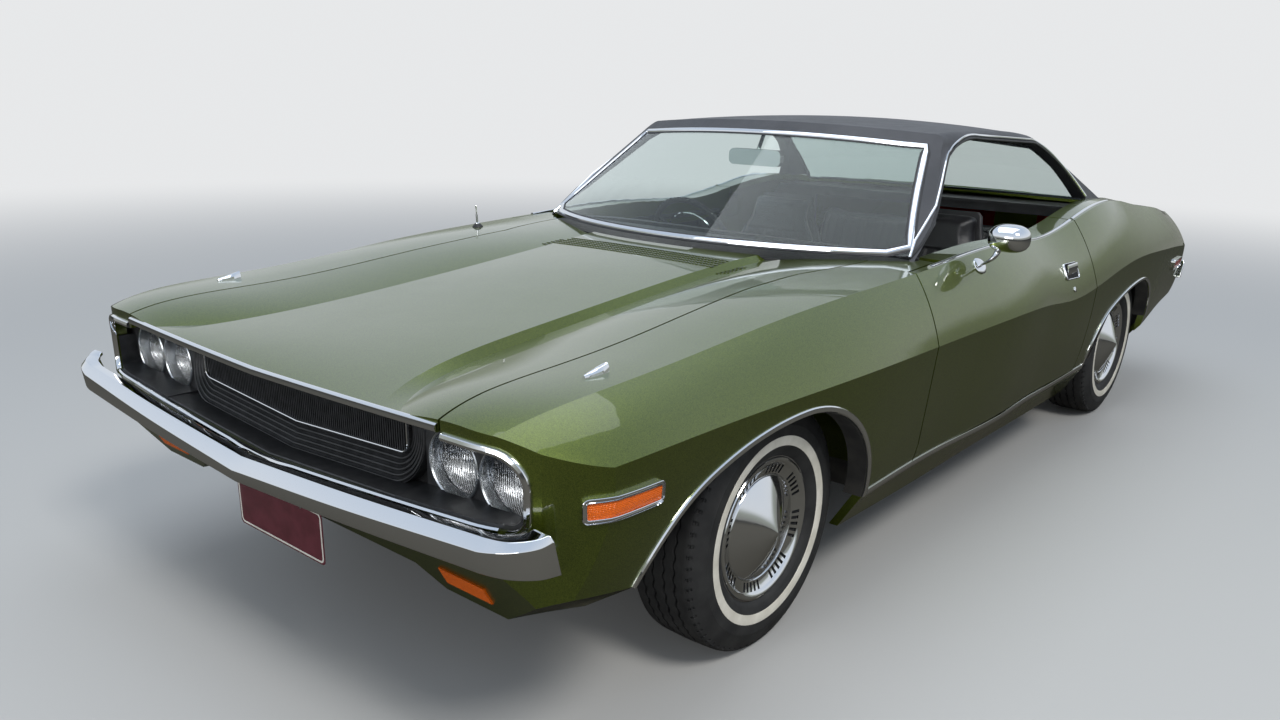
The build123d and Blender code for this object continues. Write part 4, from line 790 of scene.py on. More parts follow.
def make_tyre(corner, centre, side):
    """A ribbed tyre: zigzag grooves between the ribs and cuts across the shoulders."""
    bm = bmesh.new()
    profile = list(TYRE_HALF) + [(radius, -place) for radius, place in reversed(TYRE_HALF)]
    spin_profile(bm, profile + profile[:1], centre, AXLE_WAY, TYRE_STEPS)
    for vert in bm.verts:
        away = vert.co - centre
        step = round(turn_at(away, TYRE_STEPS)[0])
        if abs(away.y) < RIBBED_HALF:
            vert.co.y += ZIGZAG * (1 if step // 2 % 2 else -1)
    cuts = []
    for face in bm.faces:
        middle = face.calc_center_median() - centre
        turn, radius = turn_at(middle, TYRE_STEPS)
        on_shoulder = abs(middle.y) > SHOULDER_FROM and SHOULDER_LOW < radius < SHOULDER_HIGH
        if on_shoulder and math.floor(turn) % 3 == 0:
            cuts.append(face)
    bmesh.ops.inset_individual(bm, faces=cuts, thickness=0.0006, depth=0.0)
    for face in cuts:
        inward = (centre - face.calc_center_median()).normalized() * SHOULDER_CUT
        bmesh.ops.translate(bm, vec=inward, verts=face.verts)
    piece = keep(bm, f"{corner}_ribbed_tyre", RUBBER, f"{corner}_wheel", 28)
    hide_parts(f"{corner}_tyre")
    band = bmesh.new()
    spin_profile(band, on_side(WHITE_BAND, side), centre, AXLE_WAY, 96)
    keep(band, f"{corner}_white_band", WHITE_RUBBER, f"{corner}_wheel")


RIM_EDGE = 0.0825
COVER_STEPS = 120
SLOT_GROUP = 15
SLOTTED = 9
SLOT_LOW = 0.150
SLOT_HIGH = 0.165
POCKET = 0.008
RIM = ((0.0182, -0.016), (0.184, -0.016), (0.184, -0.0780), (0.1865, -0.0825), (0.1917, -0.0825),
       (0.1917, 0.0825), (0.1865, 0.0825), (0.184, 0.0780), (0.184, -0.002), (0.060, -0.002),
       (0.060, 0.006), (0.0182, 0.006))
COVER_FRONT = ((0.0, 0.0400), (0.0025, 0.0392), (0.006, 0.0376), (0.136, -0.0105), (0.1385, -0.0125),
               (0.1400, -0.0155), (0.1425, -0.0125), (0.1455, -0.0115), (0.1690, -0.0040),
               (0.1715, -0.0015), (0.1765, 0.0030), (0.1820, 0.0048), (0.1870, 0.0036),
               (0.1895, 0.0002), (0.1900, -0.0060))
COVER_BACK = ((0.1800, -0.0066), (0.1720, -0.0165), (0.1440, -0.0245), (0.1330, -0.0200), (0.0, 0.0300))
# Section of a dark sheet of painted shade in the pockets of the cover's slots
SLOT_SHADE_SHEET = ((0.1458, -0.0115), (0.1690, -0.0040), (0.1690, -0.0044), (0.1458, -0.0119))


def make_wheel(corner, centre, side):
    """A steel rim and its polished cover: a pointed centre, and slots in groups round it."""
    body = f"{corner}_wheel"
    rim = bmesh.new()
    spin_profile(rim, on_side(RIM + RIM[:1], side), centre, AXLE_WAY, 96)
    piece = keep(rim, f"{corner}_rim", METAL, body)
    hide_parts(body)
    cover = bmesh.new()
    spin_profile(cover, on_side(COVER_FRONT + COVER_BACK, side, RIM_EDGE), centre, AXLE_WAY, COVER_STEPS)
    slots = []
    for face in cover.faces:
        middle = face.calc_center_median() - centre
        turn, radius = turn_at(middle, COVER_STEPS)
        step = math.floor(turn) % SLOT_GROUP
        in_front = side * middle.y > RIM_EDGE - 0.010
        if in_front and SLOT_LOW < radius < SLOT_HIGH and step % 2 == 0 and step < SLOTTED:
            slots.append(face)
    bmesh.ops.inset_individual(cover, faces=slots, thickness=0.0005, depth=0.0)
    for face in slots:
        bmesh.ops.translate(cover, vec=(0, -side * POCKET, 0), verts=face.verts)
    keep(cover, f"{corner}_wheel_cover", POLISHED, body, 30)
    # Painted shade: a dark sheet just over the bottom of the slots' pockets
    floor = bmesh.new()
    sunk = RIM_EDGE - (POCKET - 0.0010)
    spin_profile(floor, on_side(SLOT_SHADE_SHEET + SLOT_SHADE_SHEET[:1], side, sunk), centre, AXLE_WAY, COVER_STEPS)
    keep(floor, f"{corner}_slot_shade_sheet", SHADOW, body)


def make_wheels():
    for end, axle_x, track in (("front", FRONT_AXLE_X, FRONT_TRACK_HALF),
                               ("rear", REAR_AXLE_X, REAR_TRACK_HALF)):
        for word, side in SIDES:
            centre = Vector((axle_x, side * track, TYRE_RADIUS))
            make_tyre(f"{end}_{word}", centre, side)
            make_wheel(f"{end}_{word}", centre, side)


# Bright mouldings along the body sides

FRONT_ARCH = (1.125 + 0.330j, 1.290 + 0.590j, 1.530 + 0.667j, 1.880 + 0.604j, 2.081 + 0.424j)
REAR_ARCH = (-1.600 + 0.420j, -1.480 + 0.569j, -1.290 + 0.628j, -0.900 + 0.558j, -0.760 + 0.340j)
ARCH_OUT = 0.007
# The lining behind a lip, a dark sheet of painted shade, by (place out of the opening, depth behind the
# skin)
SHADE_LINING = ((-0.0010, 0.003), (-0.0035, 0.004), (-0.0035, 0.058), (-0.0010, 0.058))
SILL = ((1.112, 0.91, 0.341), (0.5, 0.91, 0.334), (-0.1, 0.90, 0.328), (-0.752, 0.91, 0.334))


def arch_line(arch):
    """The lip of a wheel arch in side view, with the way out of the opening at each point."""
    rear, way = arc_through(*arch[:3], 24)
    middle, way = arc_leaving(arch[2], way, arch[3], 14)
    front, _ = arc_leaving(arch[3], way, arch[4], 14)
    return ways_along([arch[0]] + rear + middle + front)


def make_arch_linings(end, arch, marks):
    """The dark flange behind the lip of a wheel arch, in underbody finish: painted shade inside the arch."""
    for word, side in SIDES:
        rings = []
        for (point, out), (place, _) in zip(arch_line(arch), marks):
            ring = [(point + out * off, depth) for off, depth in SHADE_LINING]
            rings.append([Vector((at.real, side * (place.y - depth), at.imag)) for at, depth in ring])
        bm = bmesh.new()
        sweep(bm, rings)
        keep(bm, f"{word}_{end}_arch_shade_lining", UNDERBODY)


def arch_marks(arch, node, start_y):
    """Marks on the skin just outside a wheel arch."""
    line = [point + out * ARCH_OUT for point, out in arch_line(arch)]
    return Skin(node, "rocker_panels").trace([(at.real, start_y, at.imag) for at in line], INWARD)


def make_side_mouldings():
    front_marks = arch_marks(FRONT_ARCH, "left_front_fender", 0.93)
    rear_marks = arch_marks(REAR_ARCH, "left_quarter_panel", 0.92)
    make_arch_linings("front", FRONT_ARCH, front_marks)
    make_arch_linings("rear", REAR_ARCH, rear_marks)
    low_skin = Skin("left_front_fender", "rocker_panels", "left_quarter_panel")
    sill_marks = low_skin.trace(smooth_line(SILL, 16), INWARD, 4)
    for word, side in SIDES:
        for part, marks, width in (("front_arch", front_marks, 0.016), ("rear_arch", rear_marks, 0.014),
                                   ("sill", sill_marks, 0.022)):
            moulding(f"{word}_{part}_moulding", mirrored(marks, side), width, 0.006, CHROME)


# Bright trim round the nose

HEADER_HALF = 0.640
LAMP_TOP_Z = 0.7455
LAMP_OUT_Y = 0.8445
GRILLE_FOOT_HALF = 0.790


def make_nose_mouldings():
    """The strip over the grille, one round the outer corner of each lamp pair, and the grille's foot."""
    header = [(2.36, y, 0.7485 + 0.018 * abs(y)) for y in spread(-HEADER_HALF, HEADER_HALF, 60)]
    marks = Skin("hood").trace(header, BACKWARD, 1)
    moulding("hood_header_moulding", marks, 0.019, 0.009, CHROME, body="hood")
    nose = Skin("left_front_fender", "right_front_fender", "front_valance")
    outer = [complex(0.652 + 0.0155 * step, LAMP_TOP_Z) for step in range(8)]
    outer += arc_leaving(0.776 + 0.7445j, 1 + 0j, complex(LAMP_OUT_Y, 0.676), 8)[0]
    outer += [complex(LAMP_OUT_Y, z) for z in (0.655, 0.638, 0.622)]
    outer += arc_leaving(complex(LAMP_OUT_Y, 0.622), -1j, 0.806 + 0.5835j, 6)[0]
    for word, side in SIDES:
        marks = nose.trace([(2.33, side * point.real, point.imag) for point in outer], BACKWARD, 1)
        moulding(f"{word}_lamp_moulding", marks, 0.018, 0.010, CHROME)
    line = [(2.35, y, 0.5385 + 0.0615 * y) for y in spread(GRILLE_FOOT_HALF, 0.0, 34)]
    line += [(x, -y, z) for x, y, z in reversed(line[:-1])]
    marks = [(place, (facing + Vector((0, 0, 0.7))).normalized())
             for place, facing in nose.trace(line, BACKWARD, 1)]
    moulding("grille_foot_moulding", marks, 0.016, 0.009, CHROME)


# Grille insert: a thin bright frame round upright bars

INSERT_X = 2.246
INSERT_HALF = 0.428
INSERT_TOP = 0.7285
INSERT_LOW = 0.6055
INSERT_SLOPE = 0.062
INSERT_TURN = 0.022
INSERT_BARS = 106


def insert_foot(y):
    """Height of the insert's lower edge, a shallow V."""
    return INSERT_LOW + INSERT_SLOPE * abs(y)


def make_grille_insert():
    left = [complex(y, insert_foot(y)) for y in spread(0.0, INSERT_HALF - INSERT_TURN, 18)]
    corner = complex(INSERT_HALF, insert_foot(INSERT_HALF) + INSERT_TURN)
    left += arc_leaving(left[-1], complex(1, INSERT_SLOPE), corner, 6)[0]
    left.append(complex(INSERT_HALF, INSERT_TOP))
    both = [complex(-point.real, point.imag) for point in reversed(left)] + left[1:]
    marks = facing_all(both, INSERT_X + 0.006, FORWARD)
    moulding("grille_insert_frame", marks, 0.005, 0.005, CHROME)
    bars = bmesh.new()
    for step in range(1, INSERT_BARS):
        y = -INSERT_HALF + 2 * INSERT_HALF * step / INSERT_BARS
        low = insert_foot(y) + (0.012 if abs(y) > INSERT_HALF - 0.015 else 0.001)
        box_between(bars, (INSERT_X - 0.004, y - 0.0016, low),
                    (INSERT_X + 0.005, y + 0.0016, INSERT_TOP + 0.002))
    for level in range(1, 5):
        z = 0.640 + 0.021 * level
        half = min(INSERT_HALF - 0.002, max(0.0, (z - INSERT_LOW) / INSERT_SLOPE))
        box_between(bars, (INSERT_X - 0.004, -half, z - 0.001), (INSERT_X + 0.001, half, z + 0.001))
    keep(bars, "grille_insert_bars", GRILLE, sharp=20)
    # Painted shade: a dark sheet behind the insert's bars
    back = bmesh.new()
    places = [Vector((INSERT_X - 0.0042, place.y, place.z)) for place, _ in marks]
    verts, edges = start_ring(back, places)
    draw_on(back, verts, edges, [place + Vector((0.0006, 0, 0)) for place in places])
    bmesh.ops.holes_fill(back, edges=back.edges, sides=0)
    keep(back, "grille_insert_shade_sheet", SHADOW)


# Head lamps: a mirror bowl, a fluted glass and a ring for each

LAMP_TIP_X = 2.2425
LAMP_PLACES_Y = (0.578, 0.734)
LAMP_Z = 0.645
BOWL = ((0.0695, -0.0160), (0.0650, -0.0180), (0.0560, -0.0270), (0.0420, -0.0350), (0.0260, -0.0395),
        (0.0130, -0.0410), (0.0, -0.0412))
BULB = ((0.0, -0.0190), (0.0085, -0.0205), (0.0098, -0.0250), (0.0098, -0.0330), (0.0060, -0.0400))
LAMP_LENS = ((0.0, 0.0), (0.0150, -0.0006), (0.0300, -0.0023), (0.0450, -0.0052), (0.0580, -0.0088),
             (0.0655, -0.0118), (0.0692, -0.0150), (0.0660, -0.0155), (0.0560, -0.0118),
             (0.0440, -0.0082), (0.0300, -0.0052), (0.0150, -0.0036), (0.0, -0.0030))
LAMP_RING = ((0.0697, -0.0220), (0.0690, 0.0080), (0.0698, 0.0135), (0.0725, 0.0158), (0.0752, 0.0156),
             (0.0772, 0.0135), (0.0776, 0.0085))


def make_head_lamps():
    bowl = bmesh.new()
    glass = bmesh.new()
    ring = bmesh.new()
    for _, side in SIDES:
        for y in LAMP_PLACES_Y:
            centre = (LAMP_TIP_X, side * y, LAMP_Z)
            spin_profile(bowl, BOWL, centre, FORWARD, 48)
            spin_profile(bowl, BULB, centre, FORWARD, 20)
            spin_profile(glass, LAMP_LENS, centre, FORWARD, 48)
            spin_profile(ring, LAMP_RING, centre, FORWARD, 64)
    keep(bowl, "lamp_mirrors", MIRROR)
    lens = keep(glass, "lamp_lenses", LAMP_GLASS)
    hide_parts("headlamps")
    keep(ring, "lamp_rings", RING)


# Side markers: a ribbed lens in a bright frame

MARKERS = (
    ("front", "left_front_fender", (2.052 + 0.616j, 2.234 + 0.618j, 2.234 + 0.660j, 2.052 + 0.656j), AMBER,
     "amber_lens"),
    ("rear", "left_quarter_panel", (-2.180 + 0.590j, -2.010 + 0.590j, -2.010 + 0.632j, -2.180 + 0.632j), RED,
     "red_lens"))
LENS_SECTION = ((0.06, -0.003), (0.06, 0.004), (0.2, 0.0065), (0.5, 0.0078), (0.8, 0.0065), (0.94, 0.004),
                (0.94, -0.003))
MARKER_START_Y = 0.95


def make_marker_lamps():
    for end, node, corners, finish, slot in MARKERS:
        skin = Skin(node)
        edge = dense(outline(list(corners), 0.008), 0.012)
        marks = skin.trace([(point.real, MARKER_START_Y, point.imag) for point in edge], INWARD, 1)
        for word, side in SIDES:
            bm = bmesh.new()
            skin_panel(bm, skin, INWARD, corners, LENS_SECTION, spread(0.02, 0.98, 24), side, MARKER_START_Y)
            lens = keep(bm, f"{word}_{end}_marker_lens", finish)
            if end == "front" and side > 0:
                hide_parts("marker_lamps")
            moulding(f"{word}_{end}_marker_frame", mirrored(marks, side), 0.010, 0.010, CHROME,
                     section=CHANNEL, closed=True)


# Windscreen and rear window surrounds

PANE_POINTS = 180
PANE_HALF = 0.80
SCREEN_LEAN = (0.875 - 0.337) / (1.262 - 0.915)
SCREEN_CURVE = 1.25
BACKLIGHT_LEAN = (1.290 - 0.650) / (1.262 - 0.950)
BACKLIGHT_CURVE = 4.6


def pane_edge(skin, on_pane, middle_z, facing, low_z):
    """Points round the opening of a pane, found by looking through it at the roof."""
    points = []
    for step in range(PANE_POINTS):
        angle = math.tau * (step + 0.5) / PANE_POINTS
        reach = 0.1
        pace = 0.02
        while pace > 0.0002:
            y = (reach + pace) * math.cos(angle)
            place = on_pane(y, middle_z + (reach + pace) * math.sin(angle))
            way = facing(place)
            hit = skin.tree.ray_cast(place + way * 0.05, -way, 0.075)[0]
            if hit is not None or place.z < low_z or abs(y) > PANE_HALF:
                pace /= 2
            else:
                reach += pace
        points.append(on_pane(reach * math.cos(angle), middle_z + reach * math.sin(angle)))
    return points


def on_screen(y, z):
    return Vector((0.875 - SCREEN_LEAN * (z - 0.915) - SCREEN_CURVE
                   + math.sqrt(SCREEN_CURVE ** 2 - y ** 2), y, z))


def screen_facing(place):
    slant = place.y / math.sqrt(SCREEN_CURVE ** 2 - place.y ** 2)
    return Vector((1, slant, SCREEN_LEAN)).normalized()


def on_backlight(y, z):
    return Vector((-1.290 + BACKLIGHT_LEAN * (z - 0.950) + BACKLIGHT_CURVE
                   - math.sqrt(BACKLIGHT_CURVE ** 2 - y ** 2), y, z))


def backlight_facing(place):
    slant = place.y / math.sqrt(BACKLIGHT_CURVE ** 2 - place.y ** 2)
    return Vector((-1, slant, BACKLIGHT_LEAN)).normalized()


def make_pane_surrounds():
    roof = Skin("roof")
    for name, on_pane, facing, middle_z, low_z in (
            ("windscreen_surround", on_screen, screen_facing, 1.08, 0.921),
            ("rear_window_surround", on_backlight, backlight_facing, 1.10, 0.962)):
        marks = [(place, facing(place)) for place in pane_edge(roof, on_pane, middle_z, facing, low_z)]
        moulding(name, marks, 0.020, 0.007, CHROME, closed=True)
        moulding(f"{name}_seal", marks, 0.034, 0.003, SEAL, closed=True)


# Drip rails over the side windows and belt trim below them

BELT_HALF = 0.838


def side_window_edge():
    """The upper edge of the side window opening in side view, from the front."""
    front = [0.640 + 0.896j, 0.500 + 0.990j, 0.360 + 1.0847j, 0.222 + 1.178j]
    top = arc_through(0.222 + 1.178j, 0.074 + 1.226j, -0.091 + 1.234j, 10)[0]
    level = [complex(x, 1.234 - 0.026 * (-0.091 - x) / 0.549) for x in spread(-0.15, -0.64, 8)]
    rear = arc_through(-0.640 + 1.208j, -0.800 + 1.150j, -0.985 + 0.985j, 14)[0]
    return ways_along(front + top + level + rear)


def make_cabin_mouldings():
    edge = side_window_edge()
    roof = Skin("roof")
    for offset, name, height, finish, slot in ((-0.011, "drip_rail", 0.008, CHROME, "chrome"),
                                               (-0.002, "window_seal", 0.005, SEAL, "trim_vinyl")):
        line = [(point.real + (way * offset).real, 0.72, point.imag + (way * offset).imag)
                for point, way in edge]
        marks = roof.trace([line[0]] + [tuple(place) for place in smooth_line(line, 2)[1:]], INWARD, 3)
        for word, side in SIDES:
            moulding(f"{word}_{name}", mirrored(marks, side), 0.010, height, finish)
    for part, node, reach in (("door", "left_door", (0.672, -0.548)),
                              ("quarter", "left_quarter_panel", (-0.566, -0.985))):
        marks = Skin(node).trace([(x, BELT_HALF, 1.0) for x in spread(*reach, 24)], DOWNWARD)
        for word, side in SIDES:
            body = f"{word}_door" if part == "door" else "root"
            moulding(f"{word}_{part}_belt_moulding", mirrored(marks, side), 0.013, 0.006, CHROME, body=body)


# Fender-top indicators, door handles, antenna, louvres and the blank plate

INDICATOR_STEPS = 8
INDICATOR_SECTION = ((-1, -0.3), (-0.95, 0.5), (-0.5, 0.95), (0, 1.05), (0.5, 0.95), (0.95, 0.5), (1, -0.3))


def make_fender_indicators():
    """A small bright pod on each fender, with an amber eye that looks back."""
    start = [(x, 0.735, 0.83) for x in spread(2.040, 1.972, INDICATOR_STEPS)]
    marks = Skin("left_front_fender").trace(start, DOWNWARD)
    for word, side in SIDES:
        rings = []
        for index, (place, _) in enumerate(mirrored(marks, side)):
            share = index / INDICATOR_STEPS
            half = 0.011 * math.sin(math.pi * min(0.5, 0.12 + 0.6 * share)) if share < 0.99 else 0.009
            high = 0.006 + 0.012 * share
            rings.append([place + Vector((0, half * u, high * v)) for u, v in INDICATOR_SECTION])
        bm = bmesh.new()
        sweep(bm, rings)
        keep(bm, f"{word}_fender_indicator", CHROME)
        eye = bmesh.new()
        end = mirrored(marks, side)[-1][0] + Vector((0, 0, 0.009))
        profile = ((0.0, 0.0018), (0.003, 0.0014), (0.0052, 0.0), (0.0055, -0.002))
        spin_profile(eye, profile, end, BACKWARD, 20)
        keep(eye, f"{word}_fender_indicator_eye", AMBER)


FLAP_HALF = 0.050
FLAP_HIGH = 0.021
FLAP_SECTION = ((1, 0.003), (0.6, 0.0075), (0, 0.0095), (-0.6, 0.0085), (-1, 0.006), (-1, 0.0035),
                (0, 0.0055), (1, 0.001))


def make_door_handles():
    """A flap over a cup of painted shade in a bright frame, with the lock below it."""
    skin = Skin("left_door")
    corners = [-0.418 + 0.748j, -0.292 + 0.752j, -0.296 + 0.804j, -0.414 + 0.802j]
    marks = skin.trace([(point.real, 0.95, point.imag) for point in outline(corners, 0.010)], INWARD, 0)
    facing = sum((way for _, way in marks), Vector()).normalized()
    lock_place, _ = skin.under((-0.355, 0.95, 0.712), INWARD)
    for word, side in SIDES:
        turned = mirrored([(place, facing) for place, _ in marks], side)
        body = f"{word}_door"
        moulding(f"{word}_door_handle_frame", turned, 0.006, 0.006, CHROME, body=body, closed=True)
        # Painted shade: a dark cup under the flap
        cup = bmesh.new()
        pad_between(cup, turned, 0.002, ((0.0015, 0.001), (0.0020, 0.006)))
        keep(cup, f"{word}_door_handle_shade_cup", SHADOW, body)
        flap = bmesh.new()
        middle = sum((place for place, _ in turned), Vector()) / len(turned)
        out = turned[0][1]
        sweep(flap, [[middle + Vector((x, 0, 0)) + UP * (z * FLAP_HIGH + 0.006) + out * depth
                      for z, depth in FLAP_SECTION] for x in spread(-FLAP_HALF, FLAP_HALF, 10)])
        keep(flap, f"{word}_door_handle_flap", CHROME, body)
        lock = bmesh.new()
        profile = ((0.0, 0.0035), (0.0085, 0.0035), (0.0100, 0.0025), (0.0105, -0.002))
        spin_profile(lock, profile, (lock_place.x, side * lock_place.y, lock_place.z), out, 24)
        keep(lock, f"{word}_door_lock", CHROME, body)


ANTENNA_BASE = ((0.0, 0.012), (0.010, 0.012), (0.014, 0.008), (0.019, 0.002), (0.021, -0.003))
ANTENNA_MAST = ((0.0, 0.078), (0.0022, 0.0775), (0.0034, 0.075), (0.0022, 0.0725), (0.0022, 0.045),
                (0.0036, 0.045), (0.0036, 0.016), (0.0085, 0.014), (0.0090, 0.010))


def make_antenna():
    """A retracted mast on its rubber base."""
    place, facing = Skin("right_front_fender").under((1.035, -0.745, 1.0), DOWNWARD)
    for name, profile, steps, finish, slot in (("antenna_base", ANTENNA_BASE, 24, SEAL, "trim_vinyl"),
                                               ("antenna_mast", ANTENNA_MAST, 16, CHROME, "chrome")):
        bm = bmesh.new()
        spin_profile(bm, profile, place, facing, steps)
        keep(bm, name, finish)


LOUVRE_ROWS = 5
LOUVRE_HALF_COUNT = 31
LOUVRE_PITCH_X = 0.021
LOUVRE_PITCH_Y = 0.0125
LOUVRE_REAR_X = 1.062
LOUVRE_BOW = 0.10


def make_louvres():
    """Rows of cowl slots, each a dark box of painted shade, with raised lips at the hood's rear edge, where
    it is nearly level.
    """
    skin = Skin("hood")
    slots = bmesh.new()
    lips = bmesh.new()
    for row in range(LOUVRE_ROWS):
        for step in range(-LOUVRE_HALF_COUNT, LOUVRE_HALF_COUNT + 1):
            y = step * LOUVRE_PITCH_Y
            x = LOUVRE_REAR_X - row * LOUVRE_PITCH_X - LOUVRE_BOW * y * y
            place, facing = skin.under((x, y, 1.2), DOWNWARD)
            if facing.z < 0.97:
                continue
            for bm, low, high in ((slots, (-0.0065, -0.0040, -0.001), (0.0065, 0.0040, 0.0004)),
                                  (lips, (0.0050, -0.0042, -0.001), (0.0075, 0.0042, 0.0016))):
                box_between(bm, place + Vector(low), place + Vector(high))
    # The slots are dark boxes of painted shade
    keep(slots, "cowl_louvre_shade_slots", SHADOW, "hood")
    keep(lips, "cowl_louvre_lips", PAINT, "hood")


PLATE_HALF = 0.186
PLATE_LOW = 0.310
PLATE_HIGH = 0.444
STRAP_HALF = 0.012
STRAP_TOP = 0.526


def make_plate():
    """A blank plate with a pale border, on two straps under the bumper."""
    front, _ = Skin("front_valance", "front_bumper").under((2.40, 0.25, 0.432), BACKWARD)
    x = max(2.324, front.x + 0.008)
    middle = (PLATE_LOW + PLATE_HIGH) / 2
    line = outline(block_corners(-PLATE_HALF, PLATE_LOW, PLATE_HALF, PLATE_HIGH), 0.012)
    plate = bmesh.new()
    pad_between(plate, facing_all(line, x, FORWARD), 0.0008, ((0.0004, 0.0), (0.0008, 0.0006)))
    keep(plate, "blank_plate", MAROON)
    inner = [complex(point.real * 0.965, (point.imag - middle) * 0.91 + middle) for point in line]
    marks = facing_all(inner, x + 0.0006, FORWARD)
    moulding("blank_plate_border", marks, 0.005, 0.0009, CREAM, closed=True)
    straps = bmesh.new()
    for y in (-0.10, 0.10):
        left, right = y - STRAP_HALF, y + STRAP_HALF
        box_between(straps, (x - 0.0045, left, PLATE_HIGH - 0.10), (x - 0.001, right, STRAP_TOP), 0.001)
        box_between(straps, (x - 0.0045, left, STRAP_TOP - 0.004), (2.408, right, STRAP_TOP), 0.001)
        rod_between(straps, (x, y, 0.434), (x + 0.002, y, 0.434), 0.004, 6)
    keep(straps, "plate_straps", METAL)


# Grille surround: nested ribs that run in a shallow V and turn up at their ends

RIB_PITCH = 0.0110
RIBS = 6
RIB_X = 2.2415
UPTURN = 0.040
RIB = ((0.0, 0.0), (0.0008, 0.0050), (0.0030, 0.0062), (0.0052, 0.0050), (0.0062, 0.0))
MOUTH_HALF = 0.4875
MOUTH_LOW = 0.541
MOUTH_SLOPE = 0.0619
MOUTH_TOP = 0.732
SHELF = ((2.2360, 0.0), (2.2360, 0.0010), (2.2680, 0.0030), (2.3000, 0.0058), (2.3330, 0.0060),
         (2.3350, 0.0040), (2.3350, 0.0))
# Faces of a dark sheet of painted shade behind the grille's mouth
SHADE_SHEET_REAR_X = 2.2352
SHADE_SHEET_FRONT_X = 2.2382


def rib_path():
    """The line under the insert that the ribs follow, from one upturned end to the other."""
    half = INSERT_HALF + 0.003
    bottom = insert_foot(0) - 0.003
    left = [complex(y, bottom + INSERT_SLOPE * y) for y in spread(0.0, half - UPTURN, 12)]
    way = complex(1, INSERT_SLOPE) / abs(complex(1, INSERT_SLOPE))
    left += arc_leaving(left[-1], way, complex(half, left[-1].imag + UPTURN * 1.05), 8)[0]
    left += [complex(half, z) for z in spread(left[-1].imag, INSERT_TOP, 3)[1:]]
    return [complex(-point.real, point.imag) for point in reversed(left)] + left[1:]


def mouth_foot(y):
    """Height of the grille opening's lower edge."""
    return MOUTH_LOW + MOUTH_SLOPE * abs(y)


def make_grille_ribs():
    """Ribs that stand further out one by one towards the mouth's edge, with a shelf below them."""
    section = [(-0.006, RIB_X - 0.002)]
    for rib in range(RIBS):
        base, depth = 0.001 + RIB_PITCH * rib, RIB_X + 0.0055 * rib
        section += [(base + off, depth + rise) for off, rise in RIB]
    section += [(0.0660, 2.2730), (0.0660, 2.2400), (-0.006, 2.2380)]
    rings = []
    for point, way in ways_along(rib_path()):
        level = max(0.0, min(1.0, abs(way.imag)))
        reach = 0.86 + 0.14 * level
        ring = []
        for off, x in section:
            at = point - way * off * reach
            flatter = RIB_X + (x - RIB_X) * (0.35 + 0.65 * level) if x > RIB_X else x
            ring.append(Vector((flatter, at.real, at.imag)))
        rings.append(ring)
    bm = bmesh.new()
    sweep(bm, rings)
    ribs = keep(bm, "grille_ribs", GRILLE, sharp=50)
    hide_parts("grille")
    shelf = bmesh.new()
    sweep(shelf, [[Vector((x, y, mouth_foot(y) + rise)) for x, rise in SHELF]
                  for y in spread(-MOUTH_HALF, MOUTH_HALF, 40)])
    keep(shelf, "grille_shelf", GRILLE)
    # Painted shade: a dark sheet behind the ribs and insert
    back = bmesh.new()
    sweep(back, [[Vector((SHADE_SHEET_REAR_X, y, mouth_foot(y))), Vector((SHADE_SHEET_FRONT_X, y, mouth_foot(y))),
                  Vector((SHADE_SHEET_FRONT_X, y, MOUTH_TOP)), Vector((SHADE_SHEET_REAR_X, y, MOUTH_TOP))]
                 for y in spread(-MOUTH_HALF, MOUTH_HALF, 12)])
    keep(back, "grille_shade_sheet", SHADOW)


# Padded seats. Each pad is drawn as a plain form, filled by a short cloth run and then sewn

PAD_VOXEL = 0.0085
PAD_PRESSURE = 4
PAD_CAP = 0.024
PAD_FRAMES = 20
PLEAT_PITCH = 0.042
PLEAT_DEPTH = 0.0055
PLEAT_WIDTH = 0.0070


def evaluated(piece):
    """The piece's mesh with its modifiers worked in."""
    graph = bpy.context.evaluated_depsgraph_get()
    return bpy.data.meshes.new_from_object(piece.evaluated_get(graph))


def swap_mesh(piece, mesh):
    old = piece.data
    piece.modifiers.clear()
    piece.data = mesh
    bpy.data.meshes.remove(old)


def fill_pad(piece):
    """Fills a pad like a cushion: even cells, a cloth run with air in it, and one subdivision."""
    remesh = piece.modifiers.new("cells", "REMESH")
    remesh.mode = "VOXEL"
    remesh.voxel_size = PAD_VOXEL
    swap_mesh(piece, evaluated(piece))
    rest = [vert.co.copy() for vert in piece.data.vertices]
    scene = bpy.context.scene
    scene.frame_set(1)
    cloth = piece.modifiers.new("filling", "CLOTH")
    cloth.settings.use_pressure = True
    cloth.settings.uniform_pressure_force = PAD_PRESSURE
    cloth.settings.effector_weights.gravity = 0
    cloth.settings.quality = 4
    cloth.point_cache.frame_start = 1
    cloth.point_cache.frame_end = PAD_FRAMES
    for step in range(1, PAD_FRAMES + 1):
        scene.frame_set(step)
    mesh = evaluated(piece)
    for vert, before in zip(mesh.vertices, rest):
        shift = vert.co - before
        if shift.length > PAD_CAP:
            vert.co = before + shift * (PAD_CAP / shift.length)
    swap_mesh(piece, mesh)
    scene.frame_set(1)
    smooth = piece.modifiers.new("softness", "SMOOTH")
    smooth.factor = 0.5
    smooth.iterations = 6
    finer = piece.modifiers.new("cover", "SUBSURF")
    finer.levels = finer.render_levels = 1
    swap_mesh(piece, evaluated(piece))


def pleats(centre, count):
    """Places across a pad for that many sewn lines, evenly about a centre."""
    return [centre + PLEAT_PITCH * (step - (count - 1) / 2) for step in range(count)]


